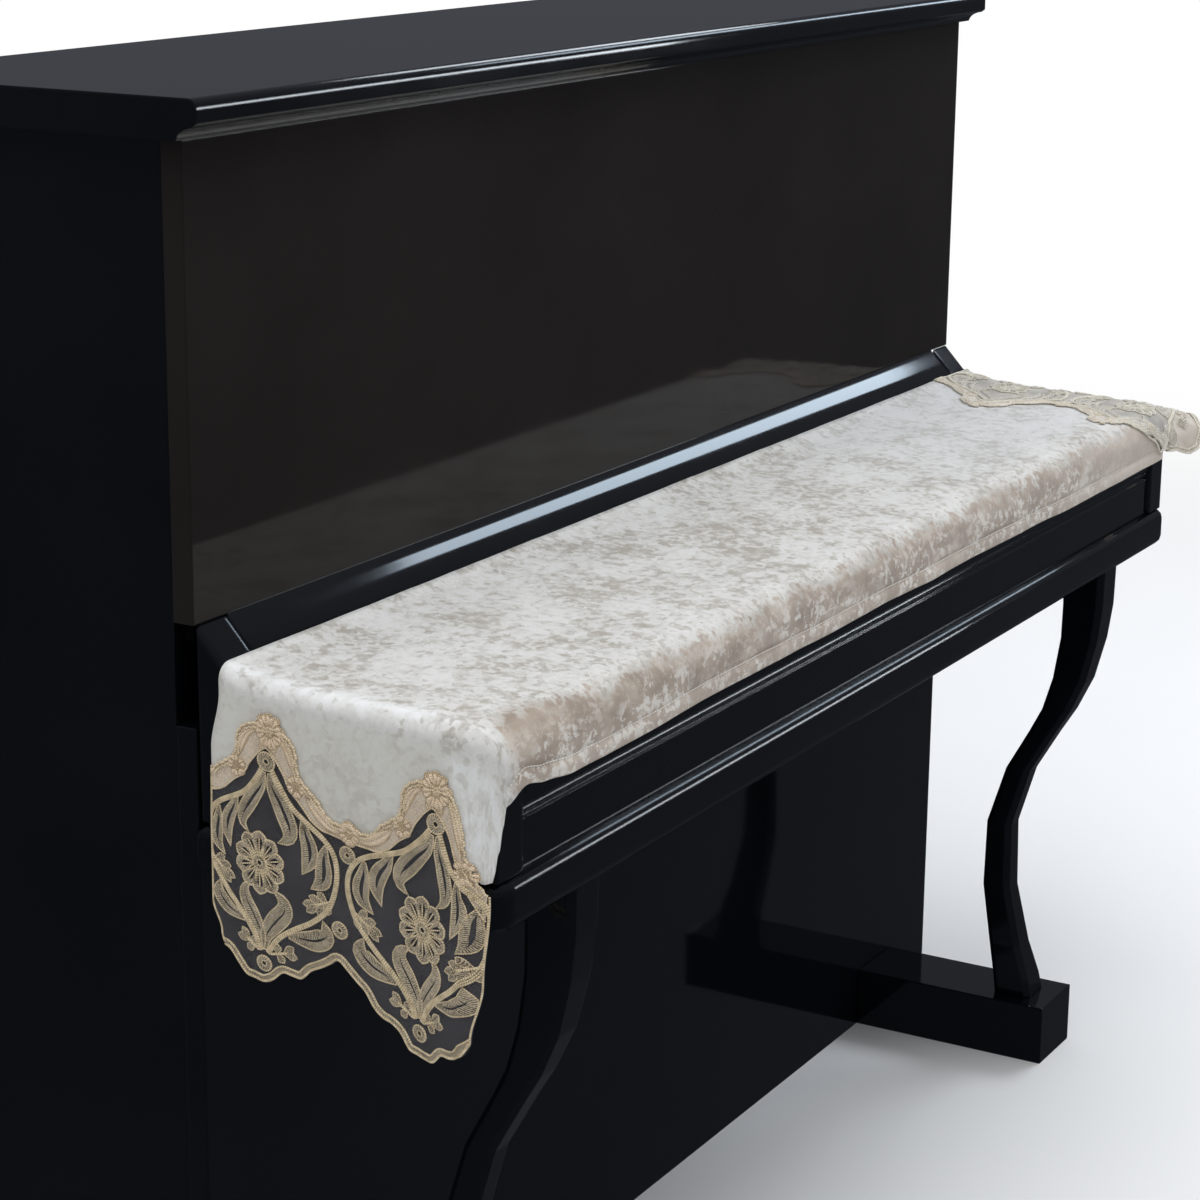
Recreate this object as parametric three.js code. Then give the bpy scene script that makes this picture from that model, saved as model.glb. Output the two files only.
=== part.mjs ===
// A velvet and lace keyboard cover lying over the closed key lid of an upright piano.
// Millimetres, +Z up. The player sits on the -Y side, and X runs along the keyboard.
import * as THREE from 'three';

// Piano case
const CASE_WIDTH = 1500;
const CASE_DEPTH = 330;
const CASE_HEIGHT = 1203;
const CASE_FRONT = -40;
const SIDE_BOARD = 28;
const PANEL_BOARD = 20;
const BASE_HEIGHT = 60;
const TOP_LID_THICK = 33;
const TOP_LID_OVERHANG = 15;
const GAP = 0.3;

// Keyboard shelf: heights above the floor, and "out" counted from the case front to the player
const LEDGE_HEIGHT = 790;
const LEDGE_OUT = 283;
const LID_FALL = 0.034;
const LID_COVE_DROP = 11;
const LID_COVE_LENGTH = 22;
const LID_FRONT_ROUND = 26;
const LID_FRONT_SETBACK = 3;
const LID_BOTTOM = 701;
const MOULDING_OUT = 25;
const MOULDING_RISE = 26;
const MOULDING_BOTTOM = 730;
const ARM_WIDTH = 45;
const ARM_EDGE = 6;
const KEY_SLIP_SETBACK = 4;
const KEY_SLIP_THICK = 30;
const KEY_BED_TOP = 649;
const KEY_BED_BOTTOM = 608;
const KEY_BED_FRONT_PROUD = 7;
const KEY_BED_END_PROUD = 3;
const KEY_BED_EDGE = 10;
const KEY_BED_CORNER = 22;

// Curved front legs, each on a toe block
const LEG_FROM_MIDDLE = 600;
const LEG_CORNER = 6;
const TOE_HEIGHT = 70;
const TOE_WIDTH = 90;
const TOE_OUT = 240;
const LEG_SECTIONS = [
  { height: 607.7, front: 279, back: 229, half: 24 },
  { height: 560, front: 278, back: 230, half: 24 },
  { height: 520, front: 273, back: 229, half: 23 },
  { height: 470, front: 261, back: 221, half: 21 },
  { height: 430, front: 243, back: 209, half: 19 },
  { height: 400, front: 225, back: 194, half: 18 },
  { height: 350, front: 197, back: 167, half: 17 },
  { height: 280, front: 177, back: 146, half: 17 },
  { height: 200, front: 179, back: 145, half: 18 },
  { height: 130, front: 196, back: 157, half: 20 },
  { height: 90, front: 210, back: 165, half: 23 },
  { height: 70.3, front: 214, back: 168, half: 24 },
];

// Cover: sheets, and how they bend over the rims of the shelf
const VELVET_THICK = 2;
const LACE_THICK = 1;
const LACE_OVER_VELVET = VELVET_THICK / 2 + GAP + LACE_THICK / 2;
const LACE_ON_LID = LACE_THICK / 2 - VELVET_THICK / 2;
const LACE_CORNER_EASE = 0.6;
const SEAM_OVERLAP = 12;
const BACK_EDGE_OUT = 29;
const END_BEND = 12;
const END_CLEAR = 6.5;
const FRONT_BEND = 26;
const FRONT_CLEAR = 4;
const END_LINE = CASE_WIDTH / 2 + END_CLEAR - END_BEND;
const FRONT_LINE = LEDGE_OUT + FRONT_CLEAR - FRONT_BEND;
const BEND_STEPS = 5;
const DROP_STEPS = 4;
const CORNER_STEPS = 6;
const CORNER_LENGTH = 31;
const OUT_STEPS = 24;
const COVE_ROWS = 12;

// Lace border: arches along its upper edge and lobes along its lower edge
const LACE_REPEAT = 157;
const LACE_DEPTH = 222;
const ARCH_DEPTH = 67;
const ARCH_POWER = 1.45;
const LEFT_ARCH_OUT = 76;
const LEFT_ARCH_DROP = 40;
const LEFT_ARCH_FALL = 0.16;
const LEFT_LOBE_OUT = 65;
const LEFT_LOBE_DROP = 256;
const LEFT_LOBE_FALL = 0.217;
const LEFT_LACE_STEPS = 8;
const LEFT_LACE_COLUMNS = 54;
const RIGHT_ARCH_OUT = 109;
const RIGHT_ARCH_X = 588;
const RIGHT_LACE_COLUMNS = 8;
const RIGHT_EASE_FROM = 450;

// Lower edge of the velvet along the front, as drops below the ledge
const FRONT_HEM = [
  { at: -744, drop: 76 },
  { at: -715, drop: 66 },
  { at: -690, drop: 70 },
  { at: -650, drop: 73.5 },
  { at: -590, drop: 76 },
  { at: -480, drop: 74.5 },
  { at: -330, drop: 72 },
  { at: -240, drop: 74 },
  { at: 0, drop: 73 },
  { at: 200, drop: 74 },
  { at: 360, drop: 75.5 },
  { at: 540, drop: 78 },
  { at: 620, drop: 77.5 },
  { at: 744, drop: 72 },
];
// The same edge round the left corner, by the turn from the end (0) to the front (90)
const CORNER_HEM = [
  { at: 0, drop: 125 },
  { at: 30, drop: 137 },
  { at: 45, drop: 135 },
  { at: 62, drop: 111 },
  { at: 75, drop: 90 },
  { at: 90, drop: 76 },
];
// Left end: where the cloth's back and front edges lie along the rim at each drop below the ledge
const LEFT_BACK = [
  { at: 22, rim: 29 },
  { at: 70, rim: 21 },
  { at: 140, rim: 20 },
  { at: 198, rim: 20 },
  { at: 223, rim: 29 },
  { at: 242, rim: 35 },
];
const LEFT_LACE_FRONT = [
  { at: 110, rim: 277 },
  { at: 149, rim: 275 },
  { at: 216, rim: 271 },
  { at: 264, rim: 266 },
  { at: 285, rim: 262 },
];
// Where the left lace's edges leave their even run of arches and lobes, near the front
const LEFT_ARCH_TRIM = [
  { at: 246, more: 0 },
  { at: 276, more: 34 },
];
const LEFT_LOBE_TRIM = [
  { at: 256, more: 0 },
  { at: 270, more: -13 },
];
// How much nearer to the end the right lace's arches lie where they go down over the front
const RIGHT_ARCH_TRIM = [
  { at: 240, more: 0 },
  { at: 258, more: 8 },
  { at: 282, more: 46 },
  { at: 300, more: 56 },
  { at: 316, more: 70 },
];
// One half of a lobe: how far its edge lies behind the lobe's tip, by the distance from its middle
const LOBE_EDGE = [
  { at: 0, rise: 0 },
  { at: 10, rise: 0 },
  { at: 26, rise: -14 },
  { at: 40, rise: -15 },
  { at: 58, rise: -31 },
  { at: 68, rise: -38 },
  { at: 78.5, rise: -46 },
];
// Soft folds of the hanging cloth: place along the rim, half width and how far they stand out
const FRONT_FOLDS = [
  { at: -655, width: 45, out: 5 },
  { at: -520, width: 70, out: 2 },
  { at: -330, width: 60, out: 3.5 },
  { at: -150, width: 50, out: 2 },
  { at: 40, width: 80, out: 4 },
  { at: 250, width: 55, out: 2 },
  { at: 420, width: 60, out: 3 },
];
const LEFT_FOLDS = [
  { at: 60, width: 34, out: 5 },
  { at: 150, width: 40, out: -2 },
  { at: 264, width: 36, out: 11 },
];
const FOLD_STARTS = 20;
const FRONT_FOLD_FULL = 80;
const LEFT_FOLD_FULL = 300;
// Low swells of the velvet lying on the lid
const TOP_SWELLS = [
  { x: -690, out: 215, along: 60, across: 40, height: 3 },
  { x: -560, out: 120, along: 90, across: 45, height: 1.5 },
  { x: -330, out: 225, along: 110, across: 30, height: 2 },
  { x: -60, out: 150, along: 120, across: 50, height: 1.5 },
  { x: 190, out: 232, along: 90, across: 28, height: 2 },
  { x: 330, out: 110, along: 80, across: 40, height: 1.5 },
];
// Right lace below its bend: the cloth's length and outward lean, round the front corner from the
// end (0) to the front (90), and its lean at the back of the end
const RIGHT_CORNER = [
  { at: 0, length: 52, lean: 55 },
  { at: 14, length: 70, lean: 74 },
  { at: 28, length: 71, lean: 64 },
  { at: 38, length: 70, lean: 48 },
  { at: 48, length: 62, lean: 37 },
  { at: 68, length: 40, lean: 20 },
  { at: 90, length: 28, lean: 0 },
];
const RIGHT_BACK_LEAN = 15;

const lacquer = new THREE.MeshStandardMaterial({ color: 0x0c0c0f, roughness: 0.08, metalness: 0 });
const velvet = new THREE.MeshStandardMaterial({ color: 0xd3cec4, roughness: 0.75, metalness: 0 });
const lace = new THREE.MeshStandardMaterial({ color: 0xb09a74, roughness: 0.8, metalness: 0 });

const radians = THREE.MathUtils.degToRad;

function piece(name, geometry, material) {
  const mesh = new THREE.Mesh(geometry, material);
  mesh.name = name;
  return mesh;
}

// Smooth curve through a table with an `at` column
function along(table, column, at) {
  const last = table.length - 1;
  if (at <= table[0].at) return table[0][column];
  if (at >= table[last].at) return table[last][column];
  const next = table.findIndex((row) => row.at > at);
  const from = table[next - 1];
  const to = table[next];
  const share = THREE.MathUtils.smoothstep(at, from.at, to.at);
  return THREE.MathUtils.lerp(from[column], to[column], share);
}

const shares = (steps) => Array.from({ length: steps + 1 }, (_, step) => step / steps);
// Rows across the shelf from the cover's back edge. The cove under the cloth has the same rows.
const outRows = shares(OUT_STEPS).map((share) => THREE.MathUtils.lerp(BACK_EDGE_OUT, FRONT_LINE, share));
const coveRows = outRows.slice(0, COVE_ROWS).reverse();

// Piano boards and profiles

function board(name, xRange, outRange, zRange) {
  const width = xRange[1] - xRange[0];
  const depth = outRange[1] - outRange[0];
  const height = zRange[1] - zRange[0];
  const mesh = piece(name, new THREE.BoxGeometry(width, depth, height), lacquer);
  mesh.position.set(xRange[0] + width / 2, CASE_FRONT - outRange[0] - depth / 2, zRange[0] + height / 2);
  return mesh;
}

// Profiles are drawn as (out, height) and run from one x to another inside this turned group
const profiles = new THREE.Group();
profiles.position.y = CASE_FRONT;
profiles.quaternion.setFromRotationMatrix(
  new THREE.Matrix4().makeBasis(
    new THREE.Vector3(0, -1, 0),
    new THREE.Vector3(0, 0, 1),
    new THREE.Vector3(-1, 0, 0),
  ),
);

function run(name, shape, xRange, edge = 0) {
  const length = xRange[1] - xRange[0];
  const geometry = new THREE.ExtrudeGeometry(shape, {
    depth: length - 2 * edge,
    steps: 1,
    curveSegments: 6,
    bevelEnabled: edge > 0,
    bevelThickness: edge,
    bevelSize: edge,
    bevelOffset: -edge,
    bevelSegments: 3,
  });
  const mesh = piece(name, geometry, lacquer);
  mesh.position.z = -xRange[1] + edge;
  return mesh;
}

// The shelf leaves the moulding in a cove and then falls a little to the front
function lidTop(out) {
  const from = out - MOULDING_OUT;
  return LEDGE_HEIGHT - LID_FALL * from - LID_COVE_DROP * (1 - Math.exp(-from / LID_COVE_LENGTH));
}

// Line up an upright front, round the shelf's front edge and back along its top to the cove
function roundedFront(shape, front, bottom) {
  const centreOut = front - LID_FRONT_ROUND;
  const slopeAngle = Math.atan(LID_FALL);
  const centreHeight = lidTop(centreOut) - LID_FRONT_ROUND / Math.cos(slopeAngle);
  shape.lineTo(front, bottom);
  shape.lineTo(front, centreHeight);
  shape.absarc(centreOut, centreHeight, LID_FRONT_ROUND, 0, Math.PI / 2 - slopeAngle, false);
  coveRows.forEach((out) => shape.lineTo(out, lidTop(out)));
}

function armShape() {
  const shape = new THREE.Shape();
  const bottom = KEY_BED_TOP + GAP;
  shape.moveTo(GAP, bottom);
  roundedFront(shape, LEDGE_OUT, bottom);
  shape.lineTo(MOULDING_OUT, LEDGE_HEIGHT);
  shape.lineTo(GAP, LEDGE_HEIGHT + MOULDING_RISE - GAP);
  return shape;
}

function keyLidShape() {
  const shape = new THREE.Shape();
  shape.moveTo(MOULDING_OUT + GAP, LID_BOTTOM);
  roundedFront(shape, LEDGE_OUT - LID_FRONT_SETBACK, LID_BOTTOM);
  shape.lineTo(MOULDING_OUT + GAP, lidTop(MOULDING_OUT));
  return shape;
}

function mouldingShape() {
  const top = LEDGE_HEIGHT + MOULDING_RISE;
  const shape = new THREE.Shape();
  shape.moveTo(-PANEL_BOARD, MOULDING_BOTTOM);
  shape.lineTo(MOULDING_OUT, MOULDING_BOTTOM);
  shape.lineTo(MOULDING_OUT, LEDGE_HEIGHT);
  shape.quadraticCurveTo(MOULDING_OUT * 0.44, LEDGE_HEIGHT + MOULDING_RISE * 0.44, 0, top - GAP);
  shape.lineTo(-PANEL_BOARD, top - GAP);
  return shape;
}

// Front rail under the lid, with a bead and a groove along its top edge
function keySlipShape() {
  const front = LEDGE_OUT - KEY_SLIP_SETBACK;
  const top = LID_BOTTOM - GAP;
  const bead = 3.5;
  const groove = 1.6;
  const shape = new THREE.Shape();
  shape.moveTo(front - KEY_SLIP_THICK, KEY_BED_TOP + GAP);
  shape.lineTo(front, KEY_BED_TOP + GAP);
  shape.lineTo(front, top - 2 * bead - 2 * groove);
  shape.lineTo(front - groove, top - 2 * bead - groove);
  shape.lineTo(front - groove, top - 2 * bead);
  shape.absarc(front - bead, top - bead, bead, -Math.PI / 3, Math.PI / 2, false);
  shape.lineTo(front - KEY_SLIP_THICK, top);
  return shape;
}

function topLidShape() {
  const bottom = CASE_HEIGHT;
  const top = CASE_HEIGHT + TOP_LID_THICK;
  const lip = 26;
  const cove = 11;
  const nose = 8;
  const shape = new THREE.Shape();
  shape.moveTo(-CASE_DEPTH - 5, bottom);
  shape.lineTo(6, bottom);
  shape.quadraticCurveTo(8, bottom + cove * 0.8, lip - 4, bottom + cove);
  shape.lineTo(lip, bottom + cove + 3);
  shape.lineTo(lip, top - nose);
  shape.absarc(lip - nose, top - nose, nose, 0, Math.PI / 2, false);
  shape.lineTo(-CASE_DEPTH - 5, top);
  return shape;
}

function keyBed() {
  const half = CASE_WIDTH / 2 + KEY_BED_END_PROUD;
  const back = CASE_FRONT - GAP;
  const front = CASE_FRONT - LEDGE_OUT - KEY_BED_FRONT_PROUD;
  const corner = KEY_BED_CORNER;
  const shape = new THREE.Shape();
  shape.moveTo(-half, back);
  shape.lineTo(-half, front + corner);
  shape.absarc(corner - half, front + corner, corner, Math.PI, 1.5 * Math.PI, false);
  shape.absarc(half - corner, front + corner, corner, 1.5 * Math.PI, 2 * Math.PI, false);
  shape.lineTo(half, back);
  const geometry = new THREE.ExtrudeGeometry(shape, {
    depth: KEY_BED_TOP - KEY_BED_BOTTOM - 2 * KEY_BED_EDGE,
    steps: 1,
    curveSegments: 5,
    bevelEnabled: true,
    bevelThickness: KEY_BED_EDGE,
    bevelSize: KEY_BED_EDGE,
    bevelOffset: -KEY_BED_EDGE,
    bevelSegments: 3,
  });
  const mesh = piece('key_bed', geometry, lacquer);
  mesh.position.z = KEY_BED_BOTTOM + KEY_BED_EDGE;
  return mesh;
}

// Closed solid through a stack of rings with the same number of points
function loft(rings) {
  const count = rings[0].length;
  const positions = rings.flat().flatMap((point) => point.toArray());
  const index = [];
  for (let row = 0; row + 1 < rings.length; row += 1) {
    for (let i = 0; i < count; i += 1) {
      const next = (i + 1) % count;
      const a = row * count + i;
      const b = row * count + next;
      index.push(a, b, b + count, a, b + count, a + count);
    }
  }
  const lastRow = (rings.length - 1) * count;
  for (let i = 1; i + 1 < count; i += 1) {
    index.push(0, i + 1, i);
    index.push(lastRow, lastRow + i, lastRow + i + 1);
  }
  const geometry = new THREE.BufferGeometry();
  geometry.setAttribute('position', new THREE.Float32BufferAttribute(positions, 3));
  geometry.setIndex(index);
  geometry.computeVertexNormals();
  return geometry;
}

function leg(name, x) {
  const rings = [...LEG_SECTIONS].reverse().map((section) => {
    const { front, back, half } = section;
    const cut = LEG_CORNER;
    const outline = [
      [half, front - cut], [half, back + cut], [half - cut, back], [cut - half, back],
      [-half, back + cut], [-half, front - cut], [cut - half, front], [half - cut, front],
    ];
    return outline.map(([across, out]) => new THREE.Vector3(x + across, CASE_FRONT - out, section.height));
  });
  return piece(name, loft(rings), lacquer);
}

// Cloth sheets

// A sheet keeps its middle surface as points and faces, and is given its thickness at the end
class Sheet {
  constructor(thickness) {
    this.thickness = thickness;
    this.points = [];
    this.faces = [];
    this.known = new Map();
  }

  point(vector) {
    const key = vector.toArray().map((value) => value.toFixed(3)).join(' ');
    if (!this.known.has(key)) {
      this.known.set(key, this.points.length);
      this.points.push(vector);
    }
    return this.known.get(key);
  }

  // Grid of rows of points, with its outer side to the right of the rows' run
  grid(rows) {
    const ids = rows.map((row) => row.map((vector) => this.point(vector)));
    for (let r = 0; r + 1 < ids.length; r += 1) {
      for (let c = 0; c + 1 < ids[r].length; c += 1) {
        this.face(ids[r][c], ids[r][c + 1], ids[r + 1][c + 1]);
        this.face(ids[r][c], ids[r + 1][c + 1], ids[r + 1][c]);
      }
    }
  }

  face(a, b, c) {
    if (a !== b && b !== c && c !== a) this.faces.push([a, b, c]);
  }

  solid() {
    const normals = this.points.map(() => new THREE.Vector3());
    for (const [a, b, c] of this.faces) {
      const ab = this.points[b].clone().sub(this.points[a]);
      const normal = ab.cross(this.points[c].clone().sub(this.points[a]));
      [a, b, c].forEach((id) => normals[id].add(normal));
    }
    const shift = this.thickness / 2;
    const side = (sign) => this.points.map((point, id) => (
      point.clone().addScaledVector(normals[id].clone().normalize(), sign * shift)
    ));
    const count = this.points.length;
    const positions = [...side(1), ...side(-1)].flatMap((point) => point.toArray());
    const index = [];
    const edges = new Map();
    for (const [a, b, c] of this.faces) {
      index.push(a, b, c, a + count, c + count, b + count);
      [[a, b], [b, c], [c, a]].forEach(([from, to]) => {
        if (!edges.delete(`${to} ${from}`)) edges.set(`${from} ${to}`, [from, to]);
      });
    }
    for (const [from, to] of edges.values()) {
      index.push(to, from, from + count, to, from + count, to + count);
    }
    const geometry = new THREE.BufferGeometry();
    geometry.setAttribute('position', new THREE.Float32BufferAttribute(positions, 3));
    geometry.setIndex(index);
    geometry.computeVertexNormals();
    return geometry;
  }
}

// Places along the rim where cloth turns down. `reach` and `fall` are the bend's two radii,
// and `lift` is how far the sheet's middle lies outside the velvet's.
const endRim = (side, out, lift) => ({
  x: side * END_LINE, out, nx: side, nout: 0, reach: END_BEND + lift, fall: END_BEND + lift, lift,
});
const frontRim = (x, lift) => ({
  x, out: FRONT_LINE, nx: 0, nout: 1, reach: FRONT_BEND + lift, fall: FRONT_BEND + lift, lift,
});

// Corner between an end and the front, by its turn from the end (0) to the front (90)
function cornerRim(side, turn, lift) {
  const acrossX = (END_BEND + lift) * Math.cos(radians(turn));
  const acrossOut = (FRONT_BEND + lift) * Math.sin(radians(turn));
  const reach = Math.hypot(acrossX, acrossOut);
  const fall = THREE.MathUtils.lerp(END_BEND, FRONT_BEND, turn / 90) + lift;
  const nx = (side * acrossX) / reach;
  const nout = acrossOut / reach;
  return { x: side * END_LINE, out: FRONT_LINE, nx, nout, reach, fall, lift };
}

function foldOut(folds, at, drop, full) {
  const share = THREE.MathUtils.smoothstep(drop, FOLD_STARTS, full);
  return folds.reduce((sum, fold) => sum + fold.out * Math.exp(-(((at - fold.at) / fold.width) ** 2)), 0) * share;
}

// Height of the velvet's middle surface where it lies on the lid
function velvetTop(out) {
  const steepness = Math.hypot(1, lidTop(out - 0.5) - lidTop(out + 0.5));
  return lidTop(out) + steepness * (GAP + VELVET_THICK / 2);
}

function swell(x, out) {
  return TOP_SWELLS.reduce((sum, row) => (
    sum + row.height * Math.exp(-(((x - row.x) / row.along) ** 2) - ((out - row.out) / row.across) ** 2)
  ), 0);
}

const topPoint = (x, out, lift) => (
  new THREE.Vector3(x, CASE_FRONT - out, velvetTop(out) + swell(x, out) + lift)
);

// Point of the hanging cloth: `bend` goes 0 to 1 round the bend, then `length` runs on below it
function hangPoint(rim, bend, length, lean, sway) {
  const last = Math.PI / 2 - radians(lean);
  const angle = bend * last;
  const across = rim.reach * Math.sin(angle) + length * Math.cos(last) + sway;
  const arcFall = rim.fall * (1 - Math.cos(angle)) - rim.lift;
  const slopeFall = LID_FALL * rim.nout * rim.reach * Math.sin(angle);
  const rise = swell(rim.x, rim.out) * (1 - bend);
  const height = velvetTop(rim.out) + rise - arcFall - slopeFall - length * Math.sin(last);
  return new THREE.Vector3(rim.x + rim.nx * across, CASE_FRONT - rim.out - rim.nout * across, height);
}

// Column of points from the lid, round the bend and down to a hem at `drop` below the ledge
function hangColumn(rim, drop, folds, at, full) {
  const column = [];
  for (let step = 0; step <= BEND_STEPS; step += 1) {
    column.push(hangPoint(rim, step / BEND_STEPS, 0, 0, 0));
  }
  const total = column[BEND_STEPS].z - (LEDGE_HEIGHT - drop);
  for (let step = 1; step <= DROP_STEPS; step += 1) {
    const length = (total * step) / DROP_STEPS;
    const sway = foldOut(folds, at, LEDGE_HEIGHT - column[BEND_STEPS].z + length, full);
    column.push(hangPoint(rim, 1, length, 0, sway));
  }
  return column;
}

// Lace edges. The phase is 0 at an arch or lobe and 0.5 between two of them.
function lacePhase(across, arch) {
  const turns = (across - arch) / LACE_REPEAT;
  return Math.abs(turns - Math.round(turns));
}
const archDip = (phase) => ARCH_DEPTH * Math.sin(Math.PI * phase) ** ARCH_POWER;
const lobeEdge = (phase) => LACE_DEPTH + along(LOBE_EDGE, 'rise', phase * LACE_REPEAT);

const leftArchLine = (rim) => LEFT_ARCH_DROP + LEFT_ARCH_FALL * (rim - LEFT_ARCH_OUT);
const leftArchEdge = (rim) => (
  leftArchLine(rim) + archDip(lacePhase(rim, LEFT_ARCH_OUT)) + along(LEFT_ARCH_TRIM, 'more', rim)
);
const leftLobeEdge = (rim) => (
  LEFT_LOBE_DROP + LEFT_LOBE_FALL * (rim - LEFT_LOBE_OUT) - LACE_DEPTH
  + lobeEdge(lacePhase(rim, LEFT_LOBE_OUT)) + along(LEFT_LOBE_TRIM, 'more', rim)
);
const rightArchEdge = (across) => (
  RIGHT_ARCH_X + archDip(lacePhase(across, RIGHT_ARCH_OUT)) + along(RIGHT_ARCH_TRIM, 'more', across)
);

const cornerTurns = shares(CORNER_STEPS).map((share) => 90 * share);
// Distance across the cloth at each step of a front column, for the lace's arches on the overhang
const frontAcross = (step, drop) => {
  const bendLength = (Math.PI / 2) * FRONT_BEND;
  const bendShare = Math.min(step / BEND_STEPS, 1);
  const dropShare = Math.max(step - BEND_STEPS, 0) / DROP_STEPS;
  return FRONT_LINE + bendLength * bendShare + (drop - FRONT_BEND) * dropShare;
};

// Place along the rim of the hanging left end, by its share from the back edge to the corner
const leftRim = (share, drop) => THREE.MathUtils.lerp(along(LEFT_BACK, 'rim', drop), FRONT_LINE, share);

function velvetPanel() {
  const sheet = new Sheet(VELVET_THICK);
  const easeTo = RIGHT_ARCH_X + SEAM_OVERLAP;
  const columns = [
    ...shares(30).map((share) => THREE.MathUtils.lerp(-END_LINE, RIGHT_EASE_FROM, share)),
    ...shares(6).slice(1).map((share) => THREE.MathUtils.lerp(RIGHT_EASE_FROM, easeTo, share)),
  ];
  const eased = (x, across) => {
    const share = THREE.MathUtils.clamp((x - RIGHT_EASE_FROM) / (easeTo - RIGHT_EASE_FROM), 0, 1);
    return x + share ** 2 * (rightArchEdge(across) + SEAM_OVERLAP - easeTo);
  };
  sheet.grid(outRows.map((out) => columns.map((x) => topPoint(eased(x, out), out, 0))).reverse());

  const leftColumns = outRows.map((out) => {
    const share = (out - BACK_EDGE_OUT) / (FRONT_LINE - BACK_EDGE_OUT);
    const edge = leftRim(share, leftArchEdge(out));
    const drop = leftArchEdge(edge) + SEAM_OVERLAP;
    return hangColumn(endRim(-1, out, 0), drop, LEFT_FOLDS, edge, LEFT_FOLD_FULL).map((point) => {
      const shifted = point.clone();
      shifted.y = CASE_FRONT - leftRim(share, LEDGE_HEIGHT - point.z);
      return shifted;
    });
  });
  const cornerColumns = cornerTurns.map((turn) => {
    const at = FRONT_LINE + (CORNER_LENGTH * turn) / 90;
    return hangColumn(cornerRim(-1, turn, 0), along(CORNER_HEM, 'drop', turn), LEFT_FOLDS, at, LEFT_FOLD_FULL);
  });
  const frontColumns = columns.map((x) => {
    const drop = along(FRONT_HEM, 'drop', x);
    return hangColumn(frontRim(x, 0), drop, FRONT_FOLDS, x, FRONT_FOLD_FULL).map((point, step) => {
      const shifted = point.clone();
      shifted.x = eased(x, frontAcross(step, drop));
      return shifted;
    });
  });
  sheet.grid([...leftColumns, ...cornerColumns.slice(1, -1), ...frontColumns]);
  return piece('velvet_panel', sheet.solid(), velvet);
}

// Left border: hangs flat against the velvet's end and follows it round the front corner
function leftLacePoint(rimPlace, drop) {
  const turned = Math.max(rimPlace - FRONT_LINE, 0);
  const lift = LACE_OVER_VELVET + LACE_CORNER_EASE * THREE.MathUtils.smoothstep(turned, 0, 10);
  const rim = turned > 0
    ? cornerRim(-1, (90 * turned) / CORNER_LENGTH, lift)
    : endRim(-1, rimPlace, lift);
  const sway = foldOut(LEFT_FOLDS, rimPlace, drop, LEFT_FOLD_FULL);
  const point = hangPoint(rim, 1, 0, 0, sway);
  point.z = LEDGE_HEIGHT - drop;
  return point;
}

function laceLeft() {
  const sheet = new Sheet(LACE_THICK);
  const columns = shares(LEFT_LACE_COLUMNS).map((share) => shares(LEFT_LACE_STEPS).map((depth) => {
    let rim = THREE.MathUtils.lerp(BACK_EDGE_OUT, FRONT_LINE, share);
    let drop = 0;
    for (let pass = 0; pass < 4; pass += 1) {
      drop = THREE.MathUtils.lerp(leftArchEdge(rim), leftLobeEdge(rim), depth);
      const back = along(LEFT_BACK, 'rim', drop);
      const front = along(LEFT_LACE_FRONT, 'rim', drop);
      rim = THREE.MathUtils.lerp(back, front, share);
    }
    return leftLacePoint(rim, drop);
  }));
  sheet.grid(columns);
  return piece('lace_left', sheet.solid(), lace);
}

// Right border: over the velvet's end, then down on to the lid, over the rim and round the corner
function laceRight() {
  const sheet = new Sheet(LACE_THICK);
  const lift = (x, across) => {
    const beyond = x - rightArchEdge(across) - SEAM_OVERLAP;
    return THREE.MathUtils.lerp(LACE_OVER_VELVET, LACE_ON_LID, THREE.MathUtils.smoothstep(beyond, 8, 40));
  };
  const places = shares(RIGHT_LACE_COLUMNS);
  const xAt = (share, across) => THREE.MathUtils.lerp(rightArchEdge(across), END_LINE, share);
  sheet.grid(outRows.map((out) => places.map((share) => {
    const x = xAt(share, out);
    return topPoint(x, out, lift(x, out));
  })).reverse());

  const hung = (rim, length, lean) => {
    const column = [];
    for (let step = 0; step <= BEND_STEPS; step += 1) {
      column.push(hangPoint(rim, step / BEND_STEPS, 0, lean, 0));
    }
    for (let step = 1; step <= DROP_STEPS; step += 1) {
      column.push(hangPoint(rim, 1, (length * step) / DROP_STEPS, lean, 0));
    }
    return column;
  };
  const frontDrop = along(FRONT_HEM, 'drop', END_LINE);
  const frontColumns = places.map((share) => shares(BEND_STEPS + DROP_STEPS).map((_, step) => {
    const across = frontAcross(step, frontDrop);
    const x = xAt(share, across);
    const rim = frontRim(x, lift(x, across));
    return hangColumn(rim, frontDrop, FRONT_FOLDS, x, FRONT_FOLD_FULL)[step];
  }));
  const sideRun = (out) => (
    RIGHT_ARCH_X + lobeEdge(lacePhase(out, RIGHT_ARCH_OUT)) - END_LINE - (Math.PI / 2) * END_BEND
  );
  const cornerColumns = cornerTurns.map((turn) => hung(
    cornerRim(1, turn, LACE_ON_LID),
    along(RIGHT_CORNER, 'length', turn),
    along(RIGHT_CORNER, 'lean', turn),
  ));
  const sideColumns = outRows.map((out) => {
    const share = THREE.MathUtils.smoothstep(out, BACK_EDGE_OUT, FRONT_LINE);
    const lean = THREE.MathUtils.lerp(RIGHT_BACK_LEAN, RIGHT_CORNER[0].lean, share);
    return hung(endRim(1, out, LACE_ON_LID), sideRun(out), lean);
  });
  sheet.grid([...frontColumns, ...cornerColumns.reverse().slice(1, -1), ...sideColumns.reverse()]);
  return piece('lace_right', sheet.solid(), lace);
}

// Assembly

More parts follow.
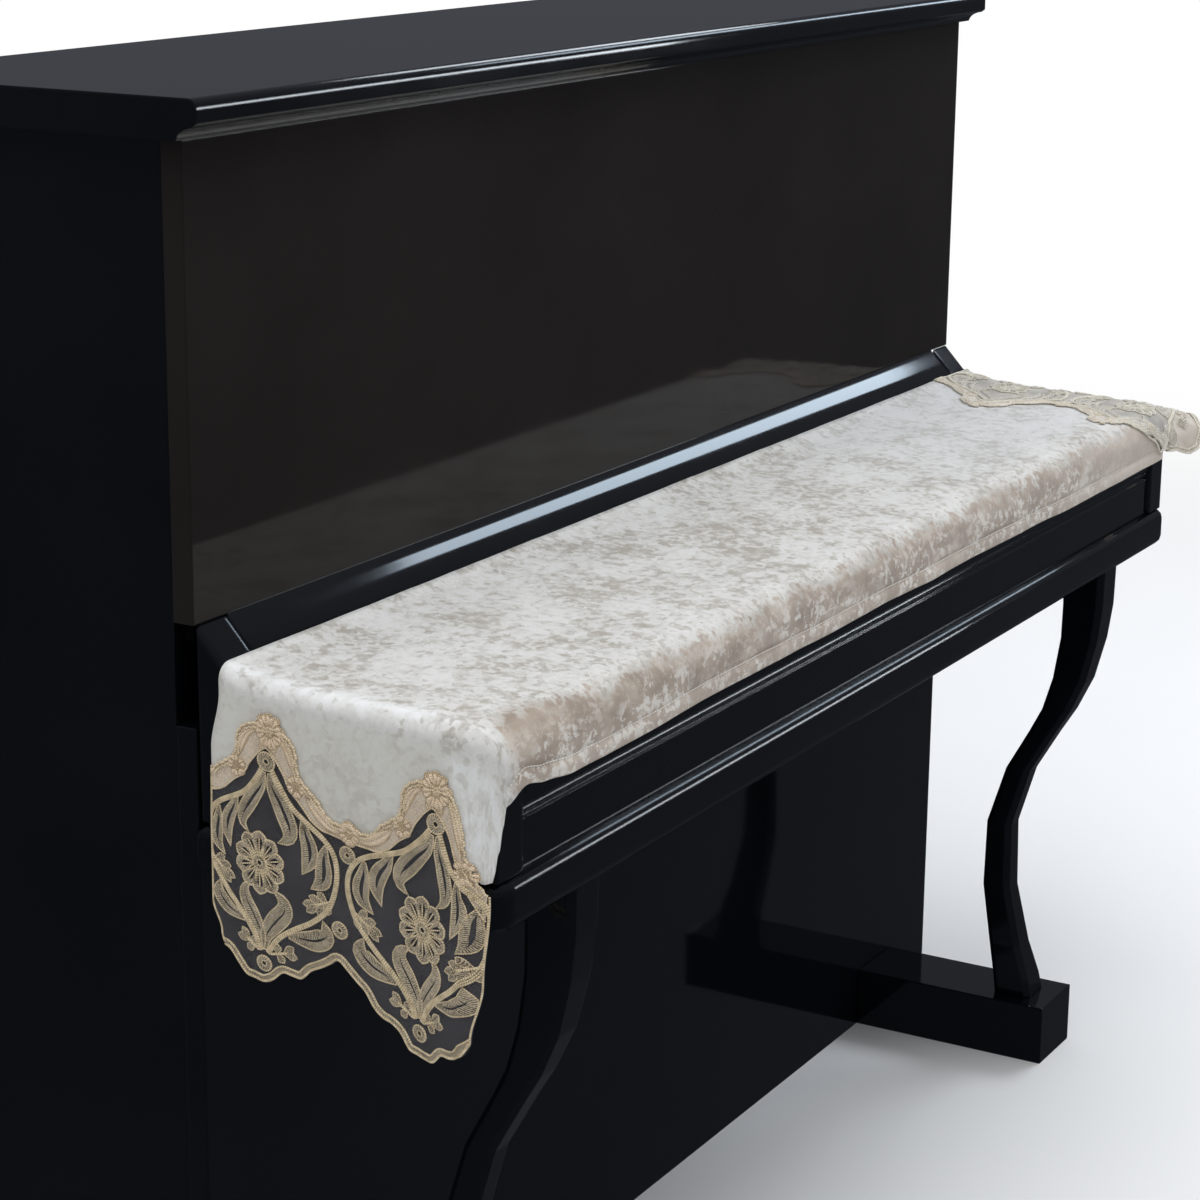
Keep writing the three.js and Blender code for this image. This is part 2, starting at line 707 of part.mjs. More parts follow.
const half = CASE_WIDTH / 2;
const inside = half - SIDE_BOARD - GAP;
const betweenArms = half - ARM_WIDTH - GAP;
const caseTop = CASE_HEIGHT - GAP;
const panelOut = [-PANEL_BOARD, 0];
const sideOut = [-CASE_DEPTH, -PANEL_BOARD - GAP];
const backOut = [-CASE_DEPTH, SIDE_BOARD - CASE_DEPTH];
const ledgeBack = LEDGE_HEIGHT + MOULDING_RISE;

profiles.add(
  run('arm_left', armShape(), [-half, ARM_WIDTH - half], ARM_EDGE),
  run('arm_right', armShape(), [half - ARM_WIDTH, half], ARM_EDGE),
  run('key_lid', keyLidShape(), [-betweenArms, betweenArms]),
  run('lid_moulding', mouldingShape(), [-betweenArms, betweenArms]),
  run('key_slip', keySlipShape(), [-betweenArms, betweenArms]),
  run('top_lid', topLidShape(), [-half - TOP_LID_OVERHANG, half + TOP_LID_OVERHANG]),
);

const pianoWithCover = new THREE.Group();
pianoWithCover.add(
  board('case_side_left', [-half, SIDE_BOARD - half], sideOut, [0, caseTop]),
  board('case_side_right', [half - SIDE_BOARD, half], sideOut, [0, caseTop]),
  board('case_back', [-inside, inside], backOut, [BASE_HEIGHT + GAP, caseTop]),
  board('base_board', [-inside, inside], sideOut, [0, BASE_HEIGHT]),
  board('lower_panel', [-half, half], panelOut, [0, MOULDING_BOTTOM - GAP]),
  board('upper_panel', [-half, half], panelOut, [ledgeBack, caseTop]),
  board(
    'toe_left',
    [-LEG_FROM_MIDDLE - TOE_WIDTH / 2, TOE_WIDTH / 2 - LEG_FROM_MIDDLE],
    [GAP, TOE_OUT],
    [0, TOE_HEIGHT],
  ),
  board(
    'toe_right',
    [LEG_FROM_MIDDLE - TOE_WIDTH / 2, TOE_WIDTH / 2 + LEG_FROM_MIDDLE],
    [GAP, TOE_OUT],
    [0, TOE_HEIGHT],
  ),
  leg('leg_left', -LEG_FROM_MIDDLE),
  leg('leg_right', LEG_FROM_MIDDLE),
  keyBed(),
  profiles,
  velvetPanel(),
  laceLeft(),
  laceRight(),
);

export default pianoWithCover;
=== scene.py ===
import math
from collections import namedtuple

import bpy
from mathutils import Matrix, Vector, noise


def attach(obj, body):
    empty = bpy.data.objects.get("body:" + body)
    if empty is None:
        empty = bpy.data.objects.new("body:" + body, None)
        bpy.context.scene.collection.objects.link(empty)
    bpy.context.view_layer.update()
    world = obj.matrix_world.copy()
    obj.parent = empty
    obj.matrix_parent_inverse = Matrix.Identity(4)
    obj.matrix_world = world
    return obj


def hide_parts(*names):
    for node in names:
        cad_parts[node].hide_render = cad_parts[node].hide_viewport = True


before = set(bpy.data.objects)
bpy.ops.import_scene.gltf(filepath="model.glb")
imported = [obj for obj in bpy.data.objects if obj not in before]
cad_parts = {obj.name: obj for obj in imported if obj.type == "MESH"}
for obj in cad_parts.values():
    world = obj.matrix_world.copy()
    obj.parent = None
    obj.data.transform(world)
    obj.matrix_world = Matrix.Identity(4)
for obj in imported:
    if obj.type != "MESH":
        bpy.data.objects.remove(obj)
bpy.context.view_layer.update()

# Sizes in millimetres, as in the solids. "Out" is counted from the case front to the player.
MM = 0.001
CASE_FRONT = -40
LEDGE_HEIGHT = 790
LID_FALL = 0.034
LID_COVE_DROP = 11
LID_COVE_LENGTH = 22
MOULDING_OUT = 25
MOULDING_RISE = 26
# Turn of the moulding's surface across its width, in radians per metre, and at its middle
MOULDING_ROUND = 9.1
MOULDING_TURN = 0.03
GAP = 0.3
VELVET_THICK = 2
LACE_THICK = 1
LACE_OVER_VELVET = VELVET_THICK / 2 + GAP + LACE_THICK / 2
LACE_ON_LID = LACE_THICK / 2 - VELVET_THICK / 2
LACE_CORNER_EASE = 0.6
BACK_EDGE_OUT = 29
END_BEND = 12
FRONT_BEND = 26
END_LINE = 744.5
FRONT_LINE = 261
CORNER_LENGTH = 31
# The sewing lies this far above the front hem
HEM_STITCH = 13

# Lace border
LACE_REPEAT = 157
LACE_DEPTH = 222
ARCH_DEPTH = 67
ARCH_POWER = 1.45
LEFT_ARCH_OUT = 76
LEFT_ARCH_DROP = 40
LEFT_ARCH_FALL = 0.16
LEFT_LOBE_OUT = 65
LEFT_LOBE_DROP = 256
LEFT_LOBE_FALL = 0.217
# The charted work falls a little less to the front than the left border's edges do
LEFT_CHART_ARCH_FALL = 0.135
LEFT_CHART_DROP = 247
LEFT_CHART_FALL = 0.196
# Where the left border's bound edges start and end: the lobes along the rim, the sides by their drop
LEFT_HEM_SPAN = (30, 270)
LEFT_FRONT_SPAN = (146, 268)
LEFT_BACK_SPAN = (84, 232)
RIGHT_ARCH_OUT = 109
RIGHT_ARCH_X = 588
RIGHT_EASE_FROM = 450
RIGHT_EASE_TO = RIGHT_ARCH_X + 30
RIGHT_BACK_LEAN = 15
# How far the velvet goes on under the lace at the arches and at the dips. This is less than in the solids,
# so that the band hides the velvet's end.
SEAM_AT_ARCH = 13
SEAM_AT_DIP = 3
# Directions of the net's threads in degrees, their distance, and the number of sides of a laid cord
NET_TURNS = (17, 77, 137)
NET_PITCH = 1.2
CORD_SIDES = 6
# Each border has two whole repeats, counted from the back
MEDALLIONS = (0, 1)

# Tables of (place, value), joined by smooth steps
FRONT_HEM = (
    (-744, 76), (-715, 66), (-690, 70), (-650, 73.5), (-590, 76), (-480, 74.5), (-330, 72),
    (-240, 74), (0, 73), (200, 74), (360, 75.5), (540, 78), (620, 77.5), (744, 72),
)
CORNER_HEM = ((0, 125), (30, 137), (45, 135), (62, 111), (75, 90), (90, 76))
LEFT_BACK = ((22, 29), (70, 21), (140, 20), (198, 20), (223, 29), (242, 35))
LEFT_LACE_FRONT = ((110, 277), (149, 275), (216, 271), (264, 266), (285, 262))
LEFT_ARCH_TRIM = ((246, 0), (276, 34))
LEFT_LOBE_TRIM = ((256, 0), (270, -13))
LOBE_EDGE = ((0, 0), (10, 0), (26, -14), (40, -15), (58, -31), (68, -38), (78.5, -46))
RIGHT_ARCH_TRIM = ((240, 0), (258, 8), (282, 46), (300, 56), (316, 70))
RIGHT_CORNER_LENGTH = ((0, 52), (14, 70), (28, 71), (38, 70), (48, 62), (68, 40), (90, 28))
RIGHT_CORNER_LEAN = ((0, 55), (14, 74), (28, 64), (38, 48), (48, 37), (68, 20), (90, 0))

# Soft folds: place along the rim, half width, and how far they stand out
FRONT_FOLDS = (
    (-655, 45, 5), (-520, 70, 2), (-330, 60, 3.5), (-150, 50, 2), (40, 80, 4), (250, 55, 2), (420, 60, 3),
)
LEFT_FOLDS = ((60, 34, 5), (150, 40, -2), (264, 36, 11))
FOLD_STARTS = 20
FRONT_FOLD_FULL = 80
LEFT_FOLD_FULL = 300
# Shift from the noise that ripples the front to the noise that ripples an end
RIPPLE_SHIFT = 700
# Low swells of the velvet on the lid: x, out, half length, half width, height
TOP_SWELLS = (
    (-690, 215, 60, 40, 3), (-560, 120, 90, 45, 1.5), (-330, 225, 110, 30, 2),
    (-60, 150, 120, 50, 1.5), (190, 232, 90, 28, 2), (330, 110, 80, 40, 1.5),
)

# Half of one lace medallion, charted as (distance from its leaning middle, depth below the arch top)
STEM_CHART = (
    (5, 40), (12.5, 51), (26, 66.5), (42, 76), (57, 84), (67, 93), (72, 106), (72, 121),
    (68, 136), (61, 149), (46, 164), (27, 178), (13, 191), (4, 206),
)
# Leaves of that half: points along the spine, half width, and how wide the slit is
LEAF_CHART = (
    (((3, 44), (6, 56), (14, 67), (21, 78), (26, 88), (25, 97), (16, 103)), 8.2, 0.20),
    (((37, 73), (40, 85), (45, 96), (46, 108), (40, 123)), 7.4, 0.22),
    (((60, 90), (59, 102), (60, 114), (58, 124), (48, 133)), 7.4, 0.24),
    (((24, 184), (36, 182), (49, 179), (60, 170), (57, 158)), 8.8, 0.12),
    (((1, 204), (3, 190), (12, 176), (21, 164), (21, 154), (12, 147)), 8.2, 0.10),
)
# Feathered sprigs: foot, head, reach and number of small leaves
SPRIG_CHART = (((68, 137), (52, 146), 17, 6), ((7, 206), (22, 200), 14, 4))
# Half of the scalloped band over the arches, from an arch top to the dip between two: outer and inner edge
ARCH_CHART = (
    (0, 4), (8, 3), (15, 4.5), (23, 9.5), (28, 18), (29, 29), (32, 38.5),
    (41, 47), (49, 53.5), (54.5, 61), (61, 65.5), (68, 66.5), (74, 65), (78.5, 66),
)
BAND_INNER = (
    (0, 22), (7, 27.5), (12, 34), (17, 41.5), (20, 48), (25, 54.5), (31, 59.5),
    (37, 66), (43, 72), (52, 76.5), (60, 77), (69, 77.5), (78.5, 77.5),
)
# Leaves and flowers of that half: spine and half width, then middle, reach and petals
BAND_LEAVES = (
    (((72, 71.5), (61, 71), (49, 63), (37, 52)), 5.2),
    (((9, 8), (18, 14), (24, 25), (27, 38)), 3.6),
)
BAND_FLOWERS = (((28.5, 47), 9, 5), ((78, 71), 9.5, 6))
APEX_FLOWER = ((3, 7), 14, 8)
APEX_KNOTS = ((3, -6), (10, -4), (-5, -3), (15, 4), (-10, 5), (7, 21), (-4, 21))
RING_DEPTH = 34
LOW_RING_DEPTH = 217
ROSETTE_DEPTH = 127
BETWEEN_RINGS = ((-2, 90), (-11, 160))
# Lean of a medallion's middle down the border, and how far its half at an end of the border is drawn in
LEFT_LEANS = (((40, 0), (127, -7), (217, -3)), ((34, 3), (127, -9), (217, -12)))
RIGHT_LEANS = (((40, 0), (120, -9), (217, -4)),) * 2
BACK_HALF = 0.72
FRONT_HALF = 0.69
# The net starts this far under the band at the arch tops
NET_UNDER_BAND = 9
# The right border's work may go this far over the velvet past the arches
BAND_OVER_VELVET = 8


# Small sums

def smooth(at, low, high):
    share = min(max((at - low) / (high - low), 0.0), 1.0)
    return share * share * (3 - 2 * share)


def mix(a, b, share):
    return a + (b - a) * share


def shares(steps):
    return [step / steps for step in range(steps + 1)]


def along(table, at):
    if at <= table[0][0]:
        return table[0][1]
    for (low, start), (high, end) in zip(table, table[1:]):
        if at < high:
            return mix(start, end, smooth(at, low, high))
    return table[-1][1]


def curve_through(points, steps):
    """Smooth flat curve through charted points, with evenly shared steps."""
    ends = [points[0], *points, points[-1]]
    fine = []
    for before, a, b, after in zip(ends, ends[1:], ends[2:], ends[3:]):
        for share in shares(12)[:-1]:
            square, cube = share * share, share ** 3
            fine.append(tuple(
                0.5 * (2 * a[i] + (b[i] - before[i]) * share
                       + (2 * before[i] - 5 * a[i] + 4 * b[i] - after[i]) * square
                       + (3 * a[i] - before[i] - 3 * b[i] + after[i]) * cube)
                for i in (0, 1)
            ))
    fine.append(tuple(points[-1]))
    lengths = [0.0]
    for a, b in zip(fine, fine[1:]):
        lengths.append(lengths[-1] + math.dist(a, b))
    even, place = [], 0
    for share in shares(steps):
        want = share * lengths[-1]
        while place + 2 < len(fine) and lengths[place + 1] < want:
            place += 1
        part = (want - lengths[place]) / max(lengths[place + 1] - lengths[place], 1e-9)
        even.append(tuple(mix(fine[place][i], fine[place + 1][i], part) for i in (0, 1)))
    return even


def sideways(path):
    """Unit vectors across a flat path."""
    across = []
    for before, after in zip([path[0], *path], [*path[1:], path[-1]]):
        run = (after[0] - before[0], after[1] - before[1])
        size = math.hypot(*run) or 1.0
        across.append((-run[1] / size, run[0] / size))
    return across


def beside(path, distance, wave=0.0, length=9.0):
    """Path at a distance to the right of another in a chart, waved a little if asked."""
    shifted, run = [], 0.0
    for i, ((s, t), (ds, dt)) in enumerate(zip(path, sideways(path))):
        run += math.dist(path[i - 1], path[i]) if i else 0.0
        off = distance + wave * math.sin(2 * math.pi * run / length)
        shifted.append((s + off * ds, t + off * dt))
    return shifted


def heading(turn):
    """Cosine and sine of a turn in degrees."""
    return math.cos(math.radians(turn)), math.sin(math.radians(turn))


# How the cloth lies: on the lid, round the rims and down

Rim = namedtuple("Rim", "x out nx nout reach fall lift")


def lid_top(out):
    start = out - MOULDING_OUT
    return LEDGE_HEIGHT - LID_FALL * start - LID_COVE_DROP * (1 - math.exp(-start / LID_COVE_LENGTH))


def velvet_top(out):
    steepness = math.hypot(1, lid_top(out - 0.5) - lid_top(out + 0.5))
    return lid_top(out) + steepness * (GAP + VELVET_THICK / 2)


def swell(x, out):
    return sum(
        height * math.exp(-(((x - at) / length) ** 2) - ((out - row) / width) ** 2)
        for at, row, length, width, height in TOP_SWELLS
    )


def crumple(x, out):
    """Small rise of crushed velvet above the lid."""
    broad = noise.noise(Vector((x / 90, out / 62, 3.1)))
    small = noise.noise(Vector((x / 27, out / 21, 7.7)))
    return 1.1 * max(broad, 0) + 0.45 * (0.5 + 0.5 * small)


def fold_out(folds, at, drop, full):
    share = smooth(drop, FOLD_STARTS, full)
    return share * sum(out * math.exp(-(((at - place) / width) ** 2)) for place, width, out in folds)


def ripple_out(at, drop):
    """Slight unevenness of hanging cloth, the same for the velvet and for the lace on it."""
    return 0.9 * smooth(drop, 25, 70) * (1 + noise.noise(Vector((at / 46, drop / 120, 1.7))))


def top_point(x, out, lift):
    return Vector((x, CASE_FRONT - out, velvet_top(out) + swell(x, out) + crumple(x, out) + lift))


def end_rim(side, out, lift):
    return Rim(side * END_LINE, out, side, 0, END_BEND + lift, END_BEND + lift, lift)


def front_rim(x, lift):
    return Rim(x, FRONT_LINE, 0, 1, FRONT_BEND + lift, FRONT_BEND + lift, lift)


def corner_rim(side, turn, lift):
    cosine, sine = heading(turn)
    across_x, across_out = (END_BEND + lift) * cosine, (FRONT_BEND + lift) * sine
    reach = math.hypot(across_x, across_out)
    fall = mix(END_BEND, FRONT_BEND, turn / 90) + lift
    return Rim(side * END_LINE, FRONT_LINE, side * across_x / reach, across_out / reach, reach, fall, lift)


def bend_length(rim, lean=0):
    return (math.pi / 2 - math.radians(lean)) * (rim.reach + rim.fall) / 2


def hang_point(rim, run, lean=0, sway=0):
    """Point of the cloth at `run` past the rim's start: first round the bend, then on below it."""
    last = math.pi / 2 - math.radians(lean)
    bend = min(run / bend_length(rim, lean), 1.0)
    length = max(run - bend_length(rim, lean), 0.0)
    across = rim.reach * math.sin(bend * last) + length * math.cos(last) + sway
    fall = rim.fall * (1 - math.cos(bend * last)) - rim.lift + length * math.sin(last)
    fall += LID_FALL * rim.nout * rim.reach * math.sin(bend * last)
    rise = (swell(rim.x, rim.out) + crumple(rim.x, rim.out)) * (1 - bend)
    height = velvet_top(rim.out) + rise - fall
    return Vector((rim.x + rim.nx * across, CASE_FRONT - rim.out - rim.nout * across, height))


def hung(rim, run, folds, at, full):
    """Point of cloth that hangs straight, moved out by its folds and ripples."""
    drop = LEDGE_HEIGHT - hang_point(rim, run).z
    sway = fold_out(folds, at, drop, full) + ripple_out(at + RIPPLE_SHIFT * rim.nx, drop)
    return hang_point(rim, run, sway=sway)


def hem_run(rim, drop):
    """How far the cloth runs past the rim's start to a hem at `drop` below the ledge."""
    end = hang_point(rim, bend_length(rim)).z
    return bend_length(rim) + end - (LEDGE_HEIGHT - drop)


# Edges of the lace: the phase is 0 at an arch or lobe and 0.5 between two of them

def lace_phase(across, arch):
    turns = (across - arch) / LACE_REPEAT
    return abs(turns - round(turns))


def arch_dip(phase):
    return ARCH_DEPTH * math.sin(math.pi * phase) ** ARCH_POWER


def lobe_edge(phase):
    """How far the edge lies past the tips of the lobes, which is never more than 0."""
    return along(LOBE_EDGE, phase * LACE_REPEAT)


def seam_overlap(phase):
    """How far the velvet goes on under the lace."""
    return mix(SEAM_AT_ARCH, SEAM_AT_DIP, smooth(phase, 0.25, 0.45))


def left_arch_edge(rim):
    line = LEFT_ARCH_DROP + LEFT_ARCH_FALL * (rim - LEFT_ARCH_OUT)
    return line + arch_dip(lace_phase(rim, LEFT_ARCH_OUT)) + along(LEFT_ARCH_TRIM, rim)


def left_lobe_edge(rim):
    lobe = lobe_edge(lace_phase(rim, LEFT_LOBE_OUT))
    return LEFT_LOBE_DROP + LEFT_LOBE_FALL * (rim - LEFT_LOBE_OUT) + lobe + along(LEFT_LOBE_TRIM, rim)


def right_arch_edge(across):
    return RIGHT_ARCH_X + arch_dip(lace_phase(across, RIGHT_ARCH_OUT)) + along(RIGHT_ARCH_TRIM, across)


def right_seam(across):
    return min(right_arch_edge(across) + seam_overlap(lace_phase(across, RIGHT_ARCH_OUT)), END_LINE - 4)


def net_start(phase):
    return NET_UNDER_BAND * math.cos(math.pi * phase) ** 2


def left_lace_point(rim_place, drop, height=0.0):
    turned = max(rim_place - FRONT_LINE, 0)
    lift = LACE_OVER_VELVET + LACE_CORNER_EASE * smooth(turned, 0, 10)
    rim = corner_rim(-1, 90 * turned / CORNER_LENGTH, lift) if turned else end_rim(-1, rim_place, lift)
    sway = fold_out(LEFT_FOLDS, rim_place, drop, LEFT_FOLD_FULL) + ripple_out(rim_place - RIPPLE_SHIFT, drop)
    point = hang_point(rim, bend_length(rim), sway=sway + height)
    point.z = LEDGE_HEIGHT - drop
    return point


def right_lift(x, across):
    beyond = x - right_seam(across)
    return mix(LACE_OVER_VELVET, LACE_ON_LID, smooth(beyond, 4, 36))


def right_lean(out):
    return mix(RIGHT_BACK_LEAN, RIGHT_CORNER_LEAN[0][1], smooth(out, BACK_EDGE_OUT, FRONT_LINE))


def right_end_run(out):
    """How far the right border goes on past the lid's end."""
    depth = LACE_DEPTH + lobe_edge(lace_phase(out, RIGHT_ARCH_OUT))
    hanging = RIGHT_ARCH_X + depth - END_LINE - math.pi / 2 * END_BEND
    return bend_length(end_rim(1, out, LACE_ON_LID), right_lean(out)) + hanging


def right_corner(turn):
    """Rim, lean and full run of the right border where it turns round the front corner."""
    rim = corner_rim(1, turn, LACE_ON_LID)
    lean = along(RIGHT_CORNER_LEAN, turn)
    return rim, lean, bend_length(rim, lean) + along(RIGHT_CORNER_LENGTH, turn)


def right_lace_point(across, run_x):
    """Point of the right border at its flat place: across the cover, and along it from the middle."""
    past_end, past_front = run_x - END_LINE, across - FRONT_LINE
    if past_end <= 0 and past_front <= 0:
        return top_point(run_x, across, right_lift(run_x, across))
    if past_front <= 0:
        return hang_point(end_rim(1, across, LACE_ON_LID), past_end, right_lean(across))
    if past_end <= 0:
        rim = front_rim(run_x, right_lift(run_x, across))
        return hung(rim, past_front, FRONT_FOLDS, run_x, FRONT_FOLD_FULL)
    rim, lean, most = right_corner(math.degrees(math.atan2(past_front, past_end)))
    return hang_point(rim, min(math.hypot(past_end, past_front), most), lean)


# Cloth meshes

def add(name, data):
    """New piece, camera or light of the scene."""
    made = bpy.data.objects.new(name, data)
    bpy.context.scene.collection.objects.link(made)
    return made


def mesh_piece(name, points, edges=(), faces=()):
    mesh = bpy.data.meshes.new(name)
    mesh.from_pydata(points, edges, faces)
    return add(name, mesh)


def dress(piece, material, layer, flats):
    """Gives a piece its material, smooth faces and each point's place on the flat cloth."""
    places = piece.data.uv_layers.new(name=layer)
    for loop in piece.data.loops:
        places.data[loop.index].uv = flats[loop.vertex_index]
    piece.data.polygons.foreach_set("use_smooth", [True] * len(piece.data.polygons))
    piece.data.materials.append(material)


def keep_mark(piece, name, values):
    """Keeps one value for each point of a piece under a name."""
    mark = piece.data.attributes.new(name, "FLOAT", "POINT")
    mark.data.foreach_set("value", values)


def plain_mesh(piece):
    """Turns a piece with modifiers into a plain mesh of the same name."""
    graph = bpy.context.evaluated_depsgraph_get()
    mesh = bpy.data.meshes.new_from_object(piece.evaluated_get(graph))
    name, old = piece.name, piece.data
    bpy.data.objects.remove(piece)
    bpy.data.meshes.remove(old)
    mesh.name = name
    return add(name, mesh)


class Cloth:
    """Sheet that is gathered from grids of (point, flat place, marks), with shared points joined."""

    def __init__(self, marks=()):
        self.marks = marks
        self.points, self.flats, self.values, self.faces, self.known = [], [], [], [], {}

    def spot(self, point, flat, values):
        key = tuple(round(part, 3) for part in point)
        if key not in self.known:
            self.known[key] = len(self.points)
            self.points.append(point * MM)
            self.flats.append((flat[0] * MM, flat[1] * MM))
            self.values.append(values)
        return self.known[key]

    def grid(self, rows):
        ids = [[self.spot(*spot) for spot in row] for row in rows]
        for row, below in zip(ids, ids[1:]):
            for a, b, c, d in zip(row, row[1:], below[1:], below):
                corners = list(dict.fromkeys((a, b, c, d)))
                if len(corners) > 2:
                    self.faces.append(corners)

    def make(self, name, material, thickness=0.0):
        piece = mesh_piece(name, self.points, faces=self.faces)
        dress(piece, material, "cloth", self.flats)
        for column, mark in enumerate(self.marks):
            keep_mark(piece, mark, [values[column] for values in self.values])
        if thickness:
            wall = piece.modifiers.new("cloth thickness", "SOLIDIFY")
            wall.thickness = thickness * MM
            wall.offset = 0
            piece = plain_mesh(piece)
        return piece


VELVET_MARKS = ("front_shade", "hem_fleck", "hem_strip", "bend_shine", "flap", "right_end_glare", "worn_middle")


def velvet_marks(x, out):
    """Where the pile looks different, or where light and shade are painted on it, by the place on the flat
    velvet, in the order of VELVET_MARKS.
    """
    past_front = out - FRONT_LINE
    past_end = -END_LINE - x
    # Painted shade: taupe where the cloth turns from the top down over the front, away from the light
    front = smooth(past_front + 18 * smooth(past_end, -180, -20), -8, 50)
    front *= 1 - smooth(past_end, -30, 8)
    # Pale flecks near the hem, fewer to the right under the painted glare
    fleck = smooth(past_front, 14, 44) * (1 - 0.85 * smooth(x, 400, 600))
    strip = smooth(past_front, 54, 60) + 1.8 * smooth(x, 360, 640) * smooth(past_front, -20, 20)
    # Painted highlight along the left bend, and on the end's face near the front corner where the cloth
    # curves round
    shine = 0.9 * math.exp(-(((past_end - 2) / 13) ** 2)) * (1 - 0.9 * smooth(past_front, -60, 10))
    shine += 0.8 * smooth(past_end, 10, 40) * smooth(past_front, -30, -4)
    # Painted glare of the window on the top towards the right end
    glare = smooth(x, 120, 420) * (1 - smooth(past_front, -40, 10))
    worn = math.exp(-(((x + 170) / 120) ** 2) - ((out - 160) / 70) ** 2)
    return front, fleck, strip, shine, smooth(past_end, 6, 34), glare, worn


def hem_pucker(x):
    """How far the sewing draws the front hem in."""
    return 0.9 + 0.7 * (0.5 + 0.5 * noise.noise(Vector((x / 7, 0.3, 4.4))))


def velvet_cloth(material):
    """Long velvet panel: its top, its left end, its front overhang and the corner between those two."""
    cloth = Cloth(VELVET_MARKS)
    rows = [mix(BACK_EDGE_OUT, FRONT_LINE, share) for share in shares(48)]
    columns = [mix(-END_LINE, RIGHT_EASE_FROM, share) for share in shares(210)]
    columns += [mix(RIGHT_EASE_FROM, RIGHT_EASE_TO, share) for share in shares(30)[1:]]

    def eased(x, across):
        share = min(max((x - RIGHT_EASE_FROM) / (RIGHT_EASE_TO - RIGHT_EASE_FROM), 0), 1)
        return x + share ** 2 * (right_seam(across) - RIGHT_EASE_TO)

    def spot(point, *flat):
        return point, flat, velvet_marks(*flat)

    def lying(x, out):
        return spot(top_point(x, out, 0), x, out)

    def left_rim(out, drop):
        share = (out - BACK_EDGE_OUT) / (FRONT_LINE - BACK_EDGE_OUT)
        return mix(along(LEFT_BACK, drop), FRONT_LINE, share)

    def column(rim, run_end, place):
        steps = [share * bend_length(rim) for share in shares(8)]
        steps += [mix(bend_length(rim), run_end, share) for share in shares(22)[1:]]
        return [place(rim, run) for run in steps]

    def left_place(rim, run):
        at = left_rim(rim.out, LEDGE_HEIGHT - hang_point(rim, run).z)
        point = hung(rim, run, LEFT_FOLDS, at, LEFT_FOLD_FULL)
        point.y = CASE_FRONT - at
        return spot(point, -END_LINE - run, rim.out)

    def left_column(out):
        rim = end_rim(-1, out, 0)
        edge = left_rim(out, left_arch_edge(out))
        drop = left_arch_edge(edge) + seam_overlap(lace_phase(edge, LEFT_ARCH_OUT))
        drop = mix(drop, along(CORNER_HEM, 0), smooth(out, 238, FRONT_LINE))
        return column(rim, hem_run(rim, drop), left_place)

    def corner_column(turn):
        def place(rim, run):
            at = FRONT_LINE + CORNER_LENGTH * turn / 90
            point = hung(rim, run, LEFT_FOLDS, at, LEFT_FOLD_FULL)
            return spot(point, -END_LINE - run * cosine, FRONT_LINE + run * sine)
        cosine, sine = heading(turn)
        rim = corner_rim(-1, turn, 0)
        return column(rim, hem_run(rim, along(CORNER_HEM, turn)), place)

    def front_column(x):
        def place(_, run):
            at = eased(x, FRONT_LINE + run)
            point = hung(front_rim(at, 0), run, FRONT_FOLDS, at, FRONT_FOLD_FULL)
            above_hem = run_end - run
            point.y += hem_pucker(at) * math.exp(-(((above_hem - HEM_STITCH) / 2.6) ** 2))
            point.y -= 0.8 * smooth(above_hem, HEM_STITCH, HEM_STITCH - 7)
            return spot(point, at, FRONT_LINE + run)
        rim = front_rim(x, 0)
        run_end = hem_run(rim, along(FRONT_HEM, x))
        return column(rim, run_end, place)

    cloth.grid([[lying(eased(x, out), out) for x in columns] for out in reversed(rows)])
    hanging = [left_column(out) for out in rows]
    hanging += [corner_column(90 * share) for share in shares(14)[1:-1]]
    hanging += [front_column(x) for x in columns]
    cloth.grid(hanging)
    return cloth.make("velvet_cloth", material, VELVET_THICK)


def hem_stitch_line():
    """Path of the sewing above the front hem, just outside the velvet."""
    line = []
    for share in shares(420):
        x = mix(-END_LINE, RIGHT_ARCH_X + 20, share)
        rim = front_rim(x, 0)
        run = hem_run(rim, along(FRONT_HEM, x)) - HEM_STITCH
        point = hung(rim, run, FRONT_FOLDS, x, FRONT_FOLD_FULL)
        point.y += hem_pucker(x) - VELVET_THICK / 2 - 0.25
        line.append(point * MM)
    return line


def left_net(material):
    cloth = Cloth()
    columns = []
    for share in shares(120):
        column = []
        for depth in shares(60):
            # The back and front edges lean with the drop, so rim and drop are found together
            rim, drop = mix(BACK_EDGE_OUT, FRONT_LINE, share), 0.0
            for _ in range(4):
                top = left_arch_edge(rim) + net_start(lace_phase(rim, LEFT_ARCH_OUT))
                drop = mix(top, left_lobe_edge(rim), depth)
                rim = mix(along(LEFT_BACK, drop), along(LEFT_LACE_FRONT, drop), share)
            column.append((left_lace_point(rim, drop), (rim, drop), ()))
        columns.append(column)
    cloth.grid(columns)
    return cloth.make("lace_left_net", material)


